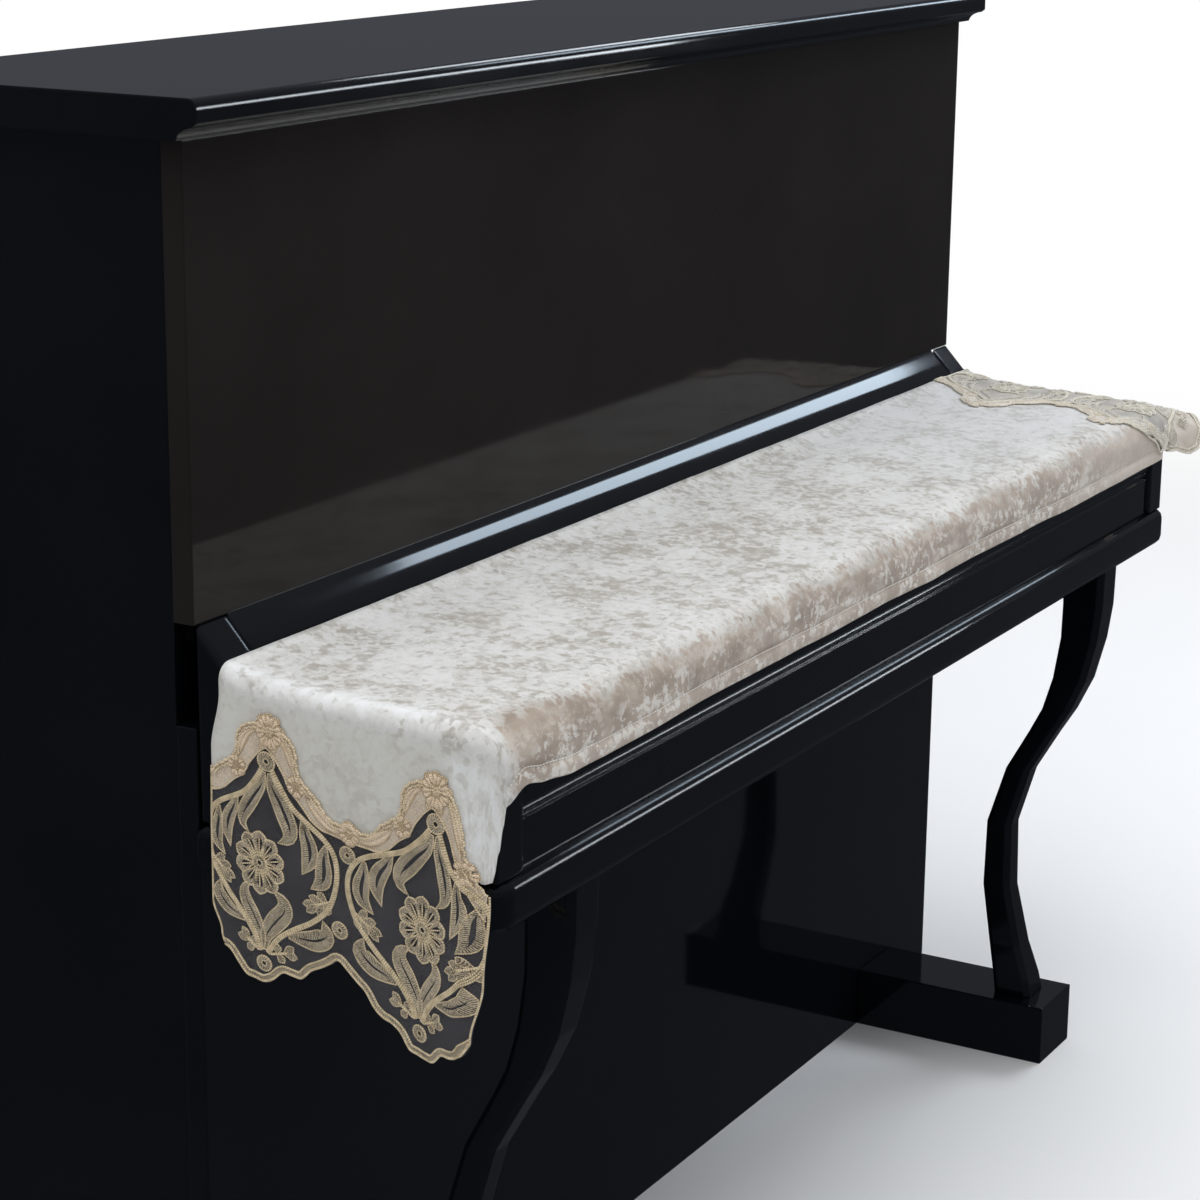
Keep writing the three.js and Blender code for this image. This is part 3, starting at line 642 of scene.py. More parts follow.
def right_net(material):
    cloth = Cloth(("tip",))
    rows = [mix(BACK_EDGE_OUT, FRONT_LINE, share) for share in shares(64)]
    places, steps = shares(30), shares(24)

    def spot(across, run_x):
        tip = smooth(run_x, END_LINE + 8, END_LINE + 40)
        return right_lace_point(across, run_x), (run_x, across), (tip,)

    def lying(share, across):
        start = right_arch_edge(across) + net_start(lace_phase(across, RIGHT_ARCH_OUT))
        return spot(across, mix(start, END_LINE, share))

    cloth.grid([[lying(share, out) for share in places] for out in reversed(rows)])
    front_run = hem_run(front_rim(END_LINE, LACE_ON_LID), along(FRONT_HEM, END_LINE))
    hanging = [[lying(share, FRONT_LINE + step * front_run) for step in steps] for share in places]
    for part in shares(18)[1:-1]:
        turn = 90 - 90 * part
        runs = [step * right_corner(turn)[2] for step in steps]
        cosine, sine = heading(turn)
        hanging.append([spot(FRONT_LINE + run * sine, END_LINE + run * cosine) for run in runs])
    for out in reversed(rows):
        hanging.append([spot(out, END_LINE + step * right_end_run(out)) for step in steps])
    cloth.grid(hanging)
    return cloth.make("lace_right_net", material)


# Embroidery: a border's own chart has s along it from an arch and t down from the arch tops

# How far the work keeps from the left border's sides, and where the cords along a border's sides lie
WORK_INSET = 1.2
SIDE_INSET = 0.8
SIDE_HEIGHT = 0.5
# Step to each side by which the slope of the right border is found
SLOPE_STEP = 0.7


class LeftBorder:
    """Chart of the border that hangs at the left end."""
    name = "lace_left"
    leans = LEFT_LEANS
    drawn_in = {(0, -1): BACK_HALF, (1, 1): FRONT_HALF}

    def top(self, rim):
        return LEFT_ARCH_DROP + LEFT_CHART_ARCH_FALL * (rim - LEFT_ARCH_OUT)

    def span(self, rim):
        low = LEFT_CHART_DROP + LEFT_CHART_FALL * (rim - LEFT_ARCH_OUT)
        return (low - self.top(rim)) / LACE_DEPTH

    def place(self, s, t):
        rim = LEFT_ARCH_OUT + s
        drop = self.top(rim) + t * self.span(rim)
        low, high = along(LEFT_BACK, drop) + WORK_INSET, along(LEFT_LACE_FRONT, drop) - WORK_INSET
        return rim, drop, low, high

    def inside(self, s, t):
        rim, _, low, high = self.place(s, t)
        return low <= rim <= high

    def spot(self, s, t, height):
        rim, drop, low, high = self.place(s, t)
        return left_lace_point(min(max(rim, low), high), drop, height)

    def trim(self, s):
        return along(LEFT_ARCH_TRIM, LEFT_ARCH_OUT + s) / self.span(LEFT_ARCH_OUT + s)

    def outer_edge(self):
        edge = []
        for share in shares(28):
            rim = mix(*LEFT_HEM_SPAN, share)
            edge.append((rim - LEFT_ARCH_OUT, (left_lobe_edge(rim) - self.top(rim)) / self.span(rim)))
        return curve_through(edge, 170)

    def side_edges(self):
        edges = []
        for side, span, inset in (
            (LEFT_LACE_FRONT, LEFT_FRONT_SPAN, -SIDE_INSET),
            (LEFT_BACK, LEFT_BACK_SPAN, SIDE_INSET),
        ):
            drops = [mix(*span, share) for share in shares(60)]
            edges.append([left_lace_point(along(side, drop) + inset, drop, SIDE_HEIGHT) for drop in drops])
        return edges


class RightBorder:
    """Chart of the border that lies on the right end and turns down over its edge."""
    name = "lace_right"
    leans = RIGHT_LEANS
    drawn_in = {}
    back = BACK_EDGE_OUT + 1
    front = FRONT_LINE + hem_run(front_rim(END_LINE, LACE_ON_LID), along(FRONT_HEM, END_LINE)) - 1

    def start(self, out):
        """Where the work may start, a little over the velvet."""
        return right_arch_edge(out) - BAND_OVER_VELVET

    def inside(self, s, t):
        out = RIGHT_ARCH_OUT + s
        return self.back <= out <= self.front and RIGHT_ARCH_X + t > self.start(out)

    def flat(self, s, t):
        x = RIGHT_ARCH_X + t
        most = self.front + 16 * smooth(x, END_LINE, END_LINE + 14)
        out = min(max(RIGHT_ARCH_OUT + s, BACK_EDGE_OUT + SIDE_INSET), most)
        return out, max(x, self.start(out))

    def spot(self, s, t, height):
        out, x = self.flat(s, t)
        point = right_lace_point(out, x)
        along_out = right_lace_point(out + SLOPE_STEP, x) - right_lace_point(out - SLOPE_STEP, x)
        along_x = right_lace_point(out, x + SLOPE_STEP) - right_lace_point(out, x - SLOPE_STEP)
        up = along_out.cross(along_x)
        if up.length < 1e-6:
            up = Vector((0, 0, 1))
        return point + up.normalized() * height

    def trim(self, s):
        return along(RIGHT_ARCH_TRIM, RIGHT_ARCH_OUT + s)

    def outer_edge(self):
        edge = []
        for share in shares(110):
            out = mix(self.back, FRONT_LINE, share)
            edge.append((out, END_LINE + right_end_run(out)))
        for share in shares(40)[1:]:
            run = right_corner(90 * share)[2]
            cosine, sine = heading(90 * share)
            edge.append((FRONT_LINE + run * sine, END_LINE + run * cosine))
        last = edge[-1][1]
        edge += [(self.front, mix(last, right_arch_edge(self.front), share)) for share in shares(30)[1:]]
        return [(out - RIGHT_ARCH_OUT, x - RIGHT_ARCH_X) for out, x in edge]

    def side_edges(self):
        last = END_LINE + right_end_run(self.back) - 1
        xs = [mix(RIGHT_ARCH_X + 60, last, share) for share in shares(50)]
        return [[right_lace_point(self.back, x) + Vector((0, 0, SIDE_HEIGHT)) for x in xs]]


LEAF_STEPS = 16
RING_STEPS = 20
# Height of a filling's foot over the net, and the depth of its underside over the height of its top
FILLING_FOOT = 0.35
FILLING_UNDER = -0.12
# Points of a cord that are nearer than this to the one before are left out
CORD_STEP = 0.35
# Furthest turn of a sprig's leaves to each side, in radians
SPRIG_SPREAD = 1.15


class Needlework:
    """Gathers one border's raised fillings and laid cords."""

    def __init__(self, border):
        self.border = border
        self.points, self.faces, self.stitch = [], [], []
        self.cord_points, self.cord_edges, self.cord_sizes = [], [], []

    def filling(self, rail_a, rail_b, height, closed=False, columns=4):
        """Padded satin filling between two charted rails."""
        count = len(rail_a)
        base = len(self.points)
        run = 0.0
        for i, (a, b) in enumerate(zip(rail_a, rail_b)):
            if i:
                run += (math.dist(rail_a[i - 1], a) + math.dist(rail_b[i - 1], b)) / 2
            end = 1.0 if closed else math.sin(math.pi * min(max(i / (count - 1), 0.04), 0.96)) ** 0.4
            width = math.dist(a, b)
            full = min(1.0, width / 3.0)
            for layer in (1, FILLING_UNDER):
                for k in range(columns + 1):
                    share = k / columns
                    rise = height * end * full * layer * math.sin(math.pi * share) ** 0.65
                    s, t = mix(a[0], b[0], share), mix(a[1], b[1], share)
                    self.points.append(self.border.spot(s, t, rise + FILLING_FOOT) * MM)
                    self.stitch.append((run * MM, share * width * MM))
        ring = 2 * (columns + 1)
        last = count if closed else count - 1
        for i in range(last):
            here, there = base + i * ring, base + ((i + 1) % count) * ring
            for k in range(columns):
                self.faces.append((here + k, here + k + 1, there + k + 1, there + k))
                under, beyond = here + columns + 1 + k, there + columns + 1 + k
                self.faces.append((under, beyond, beyond + 1, under + 1))

    def cord(self, path, radius, closed=False, height=0.8):
        self.lay([self.border.spot(s, t, height) for s, t in path], radius, closed)

    def lay(self, points, radius, closed=False):
        base = len(self.cord_points)
        kept = [points[0]]
        for point in points[1:]:
            if (point - kept[-1]).length > CORD_STEP:
                kept.append(point)
        if len(kept) < 3:
            return
        self.cord_points += [point * MM for point in kept]
        self.cord_sizes += [radius * MM] * len(kept)
        self.cord_edges += [(base + i, base + i + 1) for i in range(len(kept) - 1)]
        if closed:
            self.cord_edges.append((base + len(kept) - 1, base))

    def leaf(self, spine, half_width, slit, height=1.2, cord=0.6, fullest=1.2, point=0.25):
        if sum(self.border.inside(*spot) for spot in spine) < 0.7 * len(spine):
            return
        path = curve_through(spine, LEAF_STEPS)
        outline = []
        for side in (1, -1):
            inner, outer = [], []
            for share, (s, t), (ds, dt) in zip(shares(LEAF_STEPS), path, sideways(path)):
                wide = half_width * math.sin(math.pi * min(share ** fullest + 0.03, 1)) ** 0.7
                wide *= 1 - point * smooth(share, 0.7, 1)
                open_to = slit * wide * smooth(share, 0.1, 0.3) * (1 - smooth(share, 0.55, 0.8))
                inner.append((s + side * ds * open_to, t + side * dt * open_to))
                outer.append((s + side * ds * wide, t + side * dt * wide))
            self.filling(inner, outer, height)
            outline += outer if side == 1 else outer[::-1]
        self.cord(outline, cord, closed=True)

    def ring(self, centre, inner, outer):
        if not self.border.inside(*centre):
            return
        turns = [2 * math.pi * k / RING_STEPS for k in range(RING_STEPS)]
        inside, outside = (
            [(centre[0] + size * math.cos(turn), centre[1] + size * math.sin(turn)) for turn in turns]
            for size in (inner, outer)
        )
        self.filling(inside, outside, 1.5, closed=True)
        self.cord(inside, 0.6, closed=True, height=1.0)
        self.cord(outside, 0.8, closed=True)

    def flower(self, centre, reach, petals, start, half_width, slit, height=1.5):
        """Petals round a ring, each with a vein if it is slit."""
        for k in range(petals):
            turn = start + 2 * math.pi * k / petals
            ds, dt = 0.92 * reach * math.cos(turn), 1.1 * reach * math.sin(turn)
            spine, vein = (
                [(centre[0] + size * ds, centre[1] + size * dt) for size in sizes]
                for sizes in ((0.24, 0.62, 1), (0.3, 0.55, 0.8))
            )
            self.leaf(spine, half_width, slit, height, cord=0.75, fullest=2.1, point=0)
            if slit:
                self.cord(curve_through(vein, 8), 0.6, height=1.0)
        self.ring(centre, 0.1 * reach, 0.25 * reach)

    def sprig(self, base, tip, length, count):
        """Feathered sprig: small leaves fanned from a short stalk."""
        stalk = math.atan2(tip[1] - base[1], tip[0] - base[0])
        self.cord(curve_through([base, tip], 8), 1.1)
        for k in range(count):
            aside = 2 * k / (count - 1) - 1
            spread = SPRIG_SPREAD * aside
            root = tuple(mix(base[i], tip[i], 0.35 + 0.6 * (1 - abs(aside))) for i in (0, 1))
            turn = stalk + spread
            reach = length * (1 - 0.32 * abs(spread))
            end = (root[0] + reach * math.cos(turn), root[1] + reach * math.sin(turn))
            middle = tuple(mix(root[i], end[i], 0.5) for i in (0, 1))
            self.leaf([root, middle, end], 3.4, 0.0, 1.2, cord=0.45, fullest=1.6)

    def stem(self, path):
        """Stem of two thick cords with a thin one between them, on a padded ground."""
        line = curve_through(path, 60)
        self.filling(beside(line, -1.9), beside(line, 1.9), 0.6, columns=2)
        for offset, radius, height in ((-1.3, 1.05, 0.9), (1.3, 1.05, 0.9), (0, 0.7, 1.4)):
            self.cord(beside(line, offset), radius, height=height)

    def medallion(self, turn):
        def drawn_in(side):
            return self.border.drawn_in.get((turn, side), 1.0)

        def laid(side, spot):
            middle = turn * LACE_REPEAT + along(self.border.leans[turn], spot[1])
            return middle + side * spot[0] * drawn_in(side), spot[1]

        for side in (1, -1):
            narrow = drawn_in(side) ** 0.8
            self.stem([laid(side, spot) for spot in STEM_CHART])
            for spine, half_width, slit in LEAF_CHART:
                self.leaf([laid(side, spot) for spot in spine], half_width * narrow, slit)
            for base, tip, length, count in SPRIG_CHART:
                self.sprig(laid(side, base), laid(side, tip), length, count)
        self.ring(laid(1, (0, RING_DEPTH)), 2.6, 8)
        self.ring(laid(1, (0, LOW_RING_DEPTH)), 2.4, 6.5)
        self.flower(laid(1, (0, ROSETTE_DEPTH)), 25.5, 10, 0.3, 6.6, slit=0.46)

    def chart_line(self, chart):
        """Half a chart's line, mirrored and repeated along the border."""
        line = []
        for turn in MEDALLIONS:
            before = [(turn * LACE_REPEAT - s, t) for s, t in reversed(chart[1:])]
            after = [(turn * LACE_REPEAT + s, t) for s, t in chart]
            line += before[1:] + after if line else before + after
        return [(s, t + self.border.trim(s)) for s, t in curve_through(line, 400)]

    def band(self):
        """Outer and inner edge of the band over the arches, as far as the border goes."""
        edges = zip(self.chart_line(ARCH_CHART), self.chart_line(BAND_INNER))
        kept = [pair for pair in edges if self.border.inside(*pair[0]) and self.border.inside(*pair[1])]
        return zip(*kept)

    def make_filling(self, name, material):
        piece = mesh_piece(name, self.points, faces=self.faces)
        dress(piece, material, "stitch", self.stitch)
        return piece

    def make_cords(self, name, material):
        piece = mesh_piece(name, self.cord_points, self.cord_edges)
        keep_mark(piece, "cord_radius", self.cord_sizes)
        grow(piece, cord_tree(), {"Cord sides": CORD_SIDES, "Cord material": material})
        return plain_mesh(piece)


def medallion_work(border):
    """Medallions, the small rings between them and the bound lobed edge."""
    work = Needlework(border)
    for turn in MEDALLIONS:
        work.medallion(turn)
        for aside, depth in BETWEEN_RINGS:
            work.ring(((turn + 0.5) * LACE_REPEAT + aside, depth), 2.2, 7)
    hem = border.outer_edge()
    work.filling(beside(hem, -5.4), beside(hem, -0.8), 0.9)
    work.cord(beside(hem, -5.6), 0.85)
    work.cord(beside(hem, -0.8), 1.15)
    for edge in border.side_edges():
        work.lay(edge, 0.9)
    return work


def edge_work(border):
    """Applied band along the arches."""
    work = Needlework(border)
    outer, inner = work.band()
    work.filling(outer, inner, 0.6, columns=6)
    work.cord(beside(outer, 0.2, 0.5, 7), 1.2)
    work.cord(beside(outer, 3.2, 0.6, 5), 0.8, height=1.2)
    work.cord(inner, 0.8)
    return work


def flower_work(border):
    """Raised flowers, knots and leaves on the band."""
    work = Needlework(border)
    for turn in MEDALLIONS:
        def laid(side, spot):
            s = turn * LACE_REPEAT + side * spot[0]
            return s, spot[1] + border.trim(s)

        for side in (1, -1):
            for spine, half_width in BAND_LEAVES:
                work.leaf([laid(side, spot) for spot in spine], half_width, 0.0, 1.6, cord=0.7)
            for middle, reach, petals in BAND_FLOWERS:
                work.flower(laid(side, middle), reach, petals, 0.4 + side, 0.42 * reach, 0.0, 2.2)
        middle, reach, petals = APEX_FLOWER
        work.flower(laid(1, middle), reach, petals, 0.5, 0.33 * reach, 0.0, 2.4)
        for knot in APEX_KNOTS:
            work.ring(laid(1, knot), 0.5, 2.7)
    return work


# Nodes

def node(tree, kind, inputs=None, **settings):
    made = tree.nodes.new(kind)
    for name, value in settings.items():
        setattr(made, name, value)
    for name, value in (inputs or {}).items():
        if isinstance(value, bpy.types.NodeSocket):
            tree.links.new(value, made.inputs[name])
        else:
            made.inputs[name].default_value = value
    return made


def math_node(tree, operation, first, second=0.0, clamp=False):
    made = node(tree, "ShaderNodeMath", {0: first, 1: second}, operation=operation, use_clamp=clamp)
    return made.outputs[0]


def times(tree, first, second, clamp=False):
    return math_node(tree, "MULTIPLY", first, second, clamp)


# Geometry node trees

def grow(piece, tree, values):
    """Adds a tree to a piece and sets its inputs by the sockets' identifiers."""
    modifier = piece.modifiers.new(tree.name, "NODES")
    modifier.node_group = tree
    for item in tree.interface.items_tree:
        if item.in_out == "INPUT" and item.name in values:
            modifier[item.identifier] = values[item.name]


def new_tree(name, inputs):
    tree = bpy.data.node_groups.new(name, "GeometryNodeTree")
    tree.interface.new_socket("Geometry", in_out="INPUT", socket_type="NodeSocketGeometry")
    for label, kind in inputs.items():
        tree.interface.new_socket(label, in_out="INPUT", socket_type="NodeSocket" + kind)
    tree.interface.new_socket("Geometry", in_out="OUTPUT", socket_type="NodeSocketGeometry")
    return tree, tree.nodes.new("NodeGroupInput").outputs


def shape_node(tree, kind, output, inputs=None, **settings):
    return node(tree, "GeometryNode" + kind, inputs, **settings).outputs[output]


def end_tree(tree, shape, material):
    """Makes a tree's shape real and smooth, and gives it its material."""
    shape = shape_node(tree, "RealizeInstances", "Geometry", {"Geometry": shape})
    shape = shape_node(tree, "SetShadeSmooth", "Geometry", {"Geometry": shape})
    shape = shape_node(tree, "SetMaterial", "Geometry", {"Geometry": shape, "Material": material})
    tree.links.new(shape, tree.nodes.new("NodeGroupOutput").inputs["Geometry"])
    return tree


def cord_tree():
    """Lays a round cord along every line of a mesh, as thick as the line's own radius."""
    if "laid_cord" in bpy.data.node_groups:
        return bpy.data.node_groups["laid_cord"]
    tree, given = new_tree("laid_cord", {"Cord sides": "Int", "Cord material": "Material"})
    size = shape_node(tree, "InputNamedAttribute", "Attribute", {"Name": "cord_radius"}, data_type="FLOAT")
    lines = shape_node(tree, "MeshToCurve", "Curve", {"Mesh": given["Geometry"]})
    run = shape_node(tree, "SplineParameter", "Length")
    lines = shape_node(tree, "StoreNamedAttribute", "Geometry", {
        "Geometry": lines, "Name": "cord_run", "Value": run,
    }, data_type="FLOAT", domain="POINT")
    circle = shape_node(tree, "CurvePrimitiveCircle", "Curve", {
        "Resolution": given["Cord sides"], "Radius": 1.0,
    })
    tube = shape_node(tree, "CurveToMesh", "Mesh", {
        "Curve": lines, "Profile Curve": circle, "Scale": size, "Fill Caps": True,
    })
    return end_tree(tree, tube, given["Cord material"])


def stitch_tree():
    """Sets small thread stitches end to end along a line."""
    tree, given = new_tree("hem_stitches", {
        "Stitch spacing": "Float", "Stitch length": "Float",
        "Thread radius": "Float", "Thread material": "Material",
    })
    line = shape_node(tree, "MeshToCurve", "Curve", {"Mesh": given["Geometry"]})
    line = shape_node(tree, "ResampleCurve", "Curve", {
        "Curve": line, "Length": given["Stitch spacing"],
    }, mode="LENGTH")
    tangent = shape_node(tree, "InputTangent", "Tangent")
    turned = node(tree, "FunctionNodeAlignRotationToVector", {"Vector": tangent}, axis="X")
    half, radius = times(tree, given["Stitch length"], 0.5), given["Thread radius"]
    size = node(tree, "ShaderNodeCombineXYZ", {"X": half, "Y": radius, "Z": radius}).outputs["Vector"]
    thread = shape_node(tree, "MeshIcoSphere", "Mesh", {"Radius": 1.0, "Subdivisions": 2})
    sewn = shape_node(tree, "InstanceOnPoints", "Instances", {
        "Points": line, "Instance": thread, "Rotation": turned.outputs["Rotation"], "Scale": size,
    })
    return end_tree(tree, sewn, given["Thread material"])


def sew_hem(line, material):
    piece = mesh_piece("velvet_hem_stitches", line, [(i, i + 1) for i in range(len(line) - 1)])
    grow(piece, stitch_tree(), {
        "Stitch spacing": 4.4 * MM, "Stitch length": 4.0 * MM,
        "Thread radius": 0.55 * MM, "Thread material": material,
    })
    return plain_mesh(piece)


# Materials

def weighted(tree, *parts):
    """Sum of values, each times its weight."""
    total = 0.0
    for value, weight in parts:
        made = node(tree, "ShaderNodeMath", {0: value, 1: weight, 2: total}, operation="MULTIPLY_ADD")
        total = made.outputs[0]
    return total


def ranged(tree, value, start=(0.0, 1.0), end=(0.0, 1.0), shape="LINEAR"):
    """Value moved from one range to another."""
    made = node(tree, "ShaderNodeMapRange", {
        "Value": value, "From Min": start[0], "From Max": start[1], "To Min": end[0], "To Max": end[1],
    }, interpolation_type=shape)
    return made.outputs["Result"]


def vector_node(tree, operation, inputs, output="Vector"):
    return node(tree, "ShaderNodeVectorMath", inputs, operation=operation).outputs[output]


def colour_mix(tree, share, first, second):
    return node(tree, "ShaderNodeMix", {0: share, 6: first, 7: second}, data_type="RGBA").outputs[2]


def ramp(tree, share, stops):
    made = node(tree, "ShaderNodeValToRGB", {"Fac": share})
    line = made.color_ramp
    while len(line.elements) < len(stops):
        line.elements.new(0.5)
    for element, (place, colour) in zip(line.elements, stops):
        element.position = place
        element.color = (*colour, 1)
    return made.outputs["Color"]


def noise_node(tree, coords, scale, detail=4.0, roughness=0.55, distortion=0.0, output="Fac"):
    made = node(tree, "ShaderNodeTexNoise", {
        "Vector": coords, "Scale": scale, "Detail": detail, "Roughness": roughness, "Distortion": distortion,
    })
    return made.outputs[output]


def mark_node(tree, name):
    return node(tree, "ShaderNodeAttribute", attribute_name=name).outputs["Fac"]


def flat_place(tree, layer):
    return node(tree, "ShaderNodeUVMap", uv_map=layer).outputs["UV"]


def solid_place(tree):
    return node(tree, "ShaderNodeTexCoord").outputs["Object"]


def bump(tree, shader, height, distance, strength, under=None):
    inputs = {"Height": height, "Distance": distance, "Strength": strength}
    if under is not None:
        inputs["Normal"] = under
    made = node(tree, "ShaderNodeBump", inputs)
    tree.links.new(made.outputs["Normal"], shader.inputs["Normal"])
    return made.outputs["Normal"]


def new_material(name, **sockets):
    material = bpy.data.materials.new(name)
    material.use_nodes = True
    tree = material.node_tree
    shader = tree.nodes["Principled BSDF"]
    for socket, value in sockets.items():
        shader.inputs[socket.replace("_", " ")].default_value = value
    return material, tree, shader


# Tones of the velvet, from the most crushed pile to the least, and the colours laid over them, among them
# painted shade, a painted highlight and painted glare
PILE_TONES = (
    (0.40, (0.375, 0.345, 0.30)), (0.45, (0.475, 0.45, 0.41)),
    (0.495, (0.595, 0.585, 0.555)), (0.57, (0.675, 0.67, 0.65)),
)
# Taupe of the painted shade over the front bend and face
FRONT_SHADE_TONES = ((0.36, (0.285, 0.224, 0.174)), (0.50, (0.352, 0.282, 0.222)), (0.64, (0.45, 0.38, 0.31)))
FLAP_CREAM = (0.625, 0.615, 0.56, 1)
HEM_BEIGE = (0.57, 0.49, 0.42, 1)
FLECK_WHITE = (0.69, 0.655, 0.61, 1)
# Bluish white of the painted window glare
WINDOW_GLARE = (0.585, 0.595, 0.62, 1)
# Colour of the painted highlight on the left bend
BEND_HIGHLIGHT = (0.80, 0.805, 0.81, 1)


def crushed_velvet():
    """Cream pile with taupe flecks where it is crushed, taupe painted shade over the front bend with pale
    flecks below, a painted highlight on the left bend and painted window glare towards the right end.
    """
    material, tree, shader = new_material(
        "crushed_velvet", Roughness=0.7, Sheen_Weight=0.25, Sheen_Roughness=0.5,
    )

    def marked(name, share):
        return times(tree, mark_node(tree, name), share)

    flat = flat_place(tree, "cloth")
    patches = noise_node(tree, flat, 11, 3, 0.55)
    crush = noise_node(tree, flat, 58, 6, 0.62, 0.3)
    flecks = noise_node(tree, flat, 170, 4, 0.6, 0.3)
    stir = noise_node(tree, flat, 70, 3, 0.5, output="Color")
    stirred = vector_node(tree, "MULTIPLY_ADD", {0: stir, 1: (0.012, 0.012, 0), 2: flat})
    cells = node(tree, "ShaderNodeTexVoronoi", {"Vector": stirred, "Scale": 165.0}).outputs["Color"]
    plates = node(tree, "ShaderNodeSeparateXYZ", {"Vector": cells}).outputs["X"]
    shade = weighted(
        tree, (crush, 0.32), (flecks, 0.20), (patches, 0.37), (plates, 0.11),
        (mark_node(tree, "worn_middle"), -0.045),
    )
    pile = colour_mix(tree, marked("flap", 0.66), ramp(tree, shade, PILE_TONES), FLAP_CREAM)
    level = node(tree, "ShaderNodeMapping", {"Vector": flat, "Scale": (0.55, 1.0, 1.0)}).outputs["Vector"]
    soft = noise_node(tree, level, 36, 4, 0.55)
    # Painted shade over the front, taupe, with beige along the hem
    front = colour_mix(tree, marked("hem_strip", 0.25), ramp(tree, soft, FRONT_SHADE_TONES), HEM_BEIGE)
    jagged = weighted(tree, (noise_node(tree, level, 150, 6, 0.8), 0.6), (plates, 0.16), (soft, 0.24))
    pale = ramp(tree, jagged, ((0.50, (0, 0, 0)), (0.56, (1, 1, 1))))
    groups = ramp(tree, noise_node(tree, level, 24, 2), ((0.38, (0.2, 0.2, 0.2)), (0.52, (1, 1, 1))))
    pale = times(tree, times(tree, pale, groups), marked("hem_fleck", 0.85))
    front = colour_mix(tree, pale, front, FLECK_WHITE)
    # Painted shade laid over the pile where the cloth turns to the front, with a ragged edge
    turned = weighted(
        tree, (crush, 1.7), (flecks, 0.7), (plates, 0.3), (mark_node(tree, "front_shade"), 1.0), (1.0, -1.35),
    )
    pile = colour_mix(tree, ranged(tree, turned, (0.3, 0.7), shape="SMOOTHSTEP"), pile, front)
    # Painted window glare over the top towards the right end
    pile = colour_mix(tree, marked("right_end_glare", 0.32), pile, WINDOW_GLARE)
    # Painted highlight on the left bend, broken up by the crushed pile
    shine = weighted(tree, (crush, 2.2), (plates, 0.5), (1.0, -0.65))
    shine = times(tree, mark_node(tree, "bend_shine"), shine, clamp=True)
    tree.links.new(colour_mix(tree, shine, pile, BEND_HIGHLIGHT), shader.inputs["Base Color"])
    crushed = bump(tree, shader, crush, 0.003, 0.3)
    bump(tree, shader, noise_node(tree, flat, 900, 2), 0.0006, 0.25, crushed)
    return material


LINING_TONES = ((0.3, (0.40, 0.35, 0.30)), (0.7, (0.64, 0.59, 0.53)))


def sheer_net(name, thread, between, dark, light):
    """Fine net of threads in three directions, lined where its tip stands out past the end."""
    material, tree, shader = new_material(name, Roughness=0.8)
    flat = flat_place(tree, "cloth")
    parts = node(tree, "ShaderNodeSeparateXYZ", {"Vector": flat}).outputs
    threads = 0.0
    for turn in NET_TURNS:
        cosine, sine = (part / (NET_PITCH * MM) for part in heading(turn))
        across = weighted(tree, (parts["X"], cosine), (parts["Y"], sine))
        near = math_node(tree, "SUBTRACT", math_node(tree, "FRACT", across), 0.5)
        line = ranged(tree, math_node(tree, "ABSOLUTE", near), (0.25, 0.0))
        threads = math_node(tree, "MAXIMUM", line, threads)
    cover = ranged(tree, threads, end=(between, thread))
    tip = mark_node(tree, "tip")
    tree.links.new(math_node(tree, "MAXIMUM", cover, tip), shader.inputs["Alpha"])
    tone = noise_node(tree, flat, 30, 3)
    colour = ramp(tree, tone, ((0.3, dark), (0.7, light)))
    tree.links.new(colour_mix(tree, tip, colour, ramp(tree, tone, LINING_TONES)), shader.inputs["Base Color"])
    return material


def satin_filling(name, dark, light):
    """Padded satin stitches with a fine speckle, the thread's own mottle with painted glints."""
    material, tree, shader = new_material(name, Roughness=0.55, Sheen_Weight=0.4, Sheen_Roughness=0.3)
    stitch = flat_place(tree, "stitch")
    slanted = node(tree, "ShaderNodeMapping", {"Vector": stitch, "Rotation": (0, 0, 0.35)}).outputs["Vector"]
    rows = node(tree, "ShaderNodeTexWave", {
        "Vector": slanted, "Scale": 200.0, "Distortion": 2.6, "Detail": 2.0, "Detail Scale": 2.0,
    }, wave_type="BANDS", bands_direction="X").outputs["Fac"]
    place = solid_place(tree)
    # Fine speckle: the thread's mottle, partly painted glints
    speckle = noise_node(tree, place, 620, 3, 0.7)
    broad = noise_node(tree, place, 70, 3)
    tone = weighted(tree, (speckle, 0.55), (broad, 0.25), (rows, 0.2))
    tree.links.new(ramp(tree, tone, ((0.43, dark), (0.56, light))), shader.inputs["Base Color"])
    bump(tree, shader, rows, 0.0008, 0.5)
    return material


# Length of one twist of a cord, in metres
CORD_TWIST = 0.0022


def twisted_cord(name, dark, light):
    material, tree, shader = new_material(name, Roughness=0.45, Sheen_Weight=0.4, Sheen_Roughness=0.3)
    broad = noise_node(tree, solid_place(tree), 220, 4)
    turn = times(tree, mark_node(tree, "cord_run"), 2 * math.pi / CORD_TWIST)
    twist = ranged(tree, math_node(tree, "SINE", turn), (-1.0, 1.0))
    # Each twist lightens and darkens the colour: painted shade in the grooves between the plies
    tone = weighted(tree, (twist, 0.3), (broad, 0.7))
    tree.links.new(ramp(tree, tone, ((0.3, dark), (0.65, light))), shader.inputs["Base Color"])
    bump(tree, shader, twist, 0.0006, 0.5)
    return material


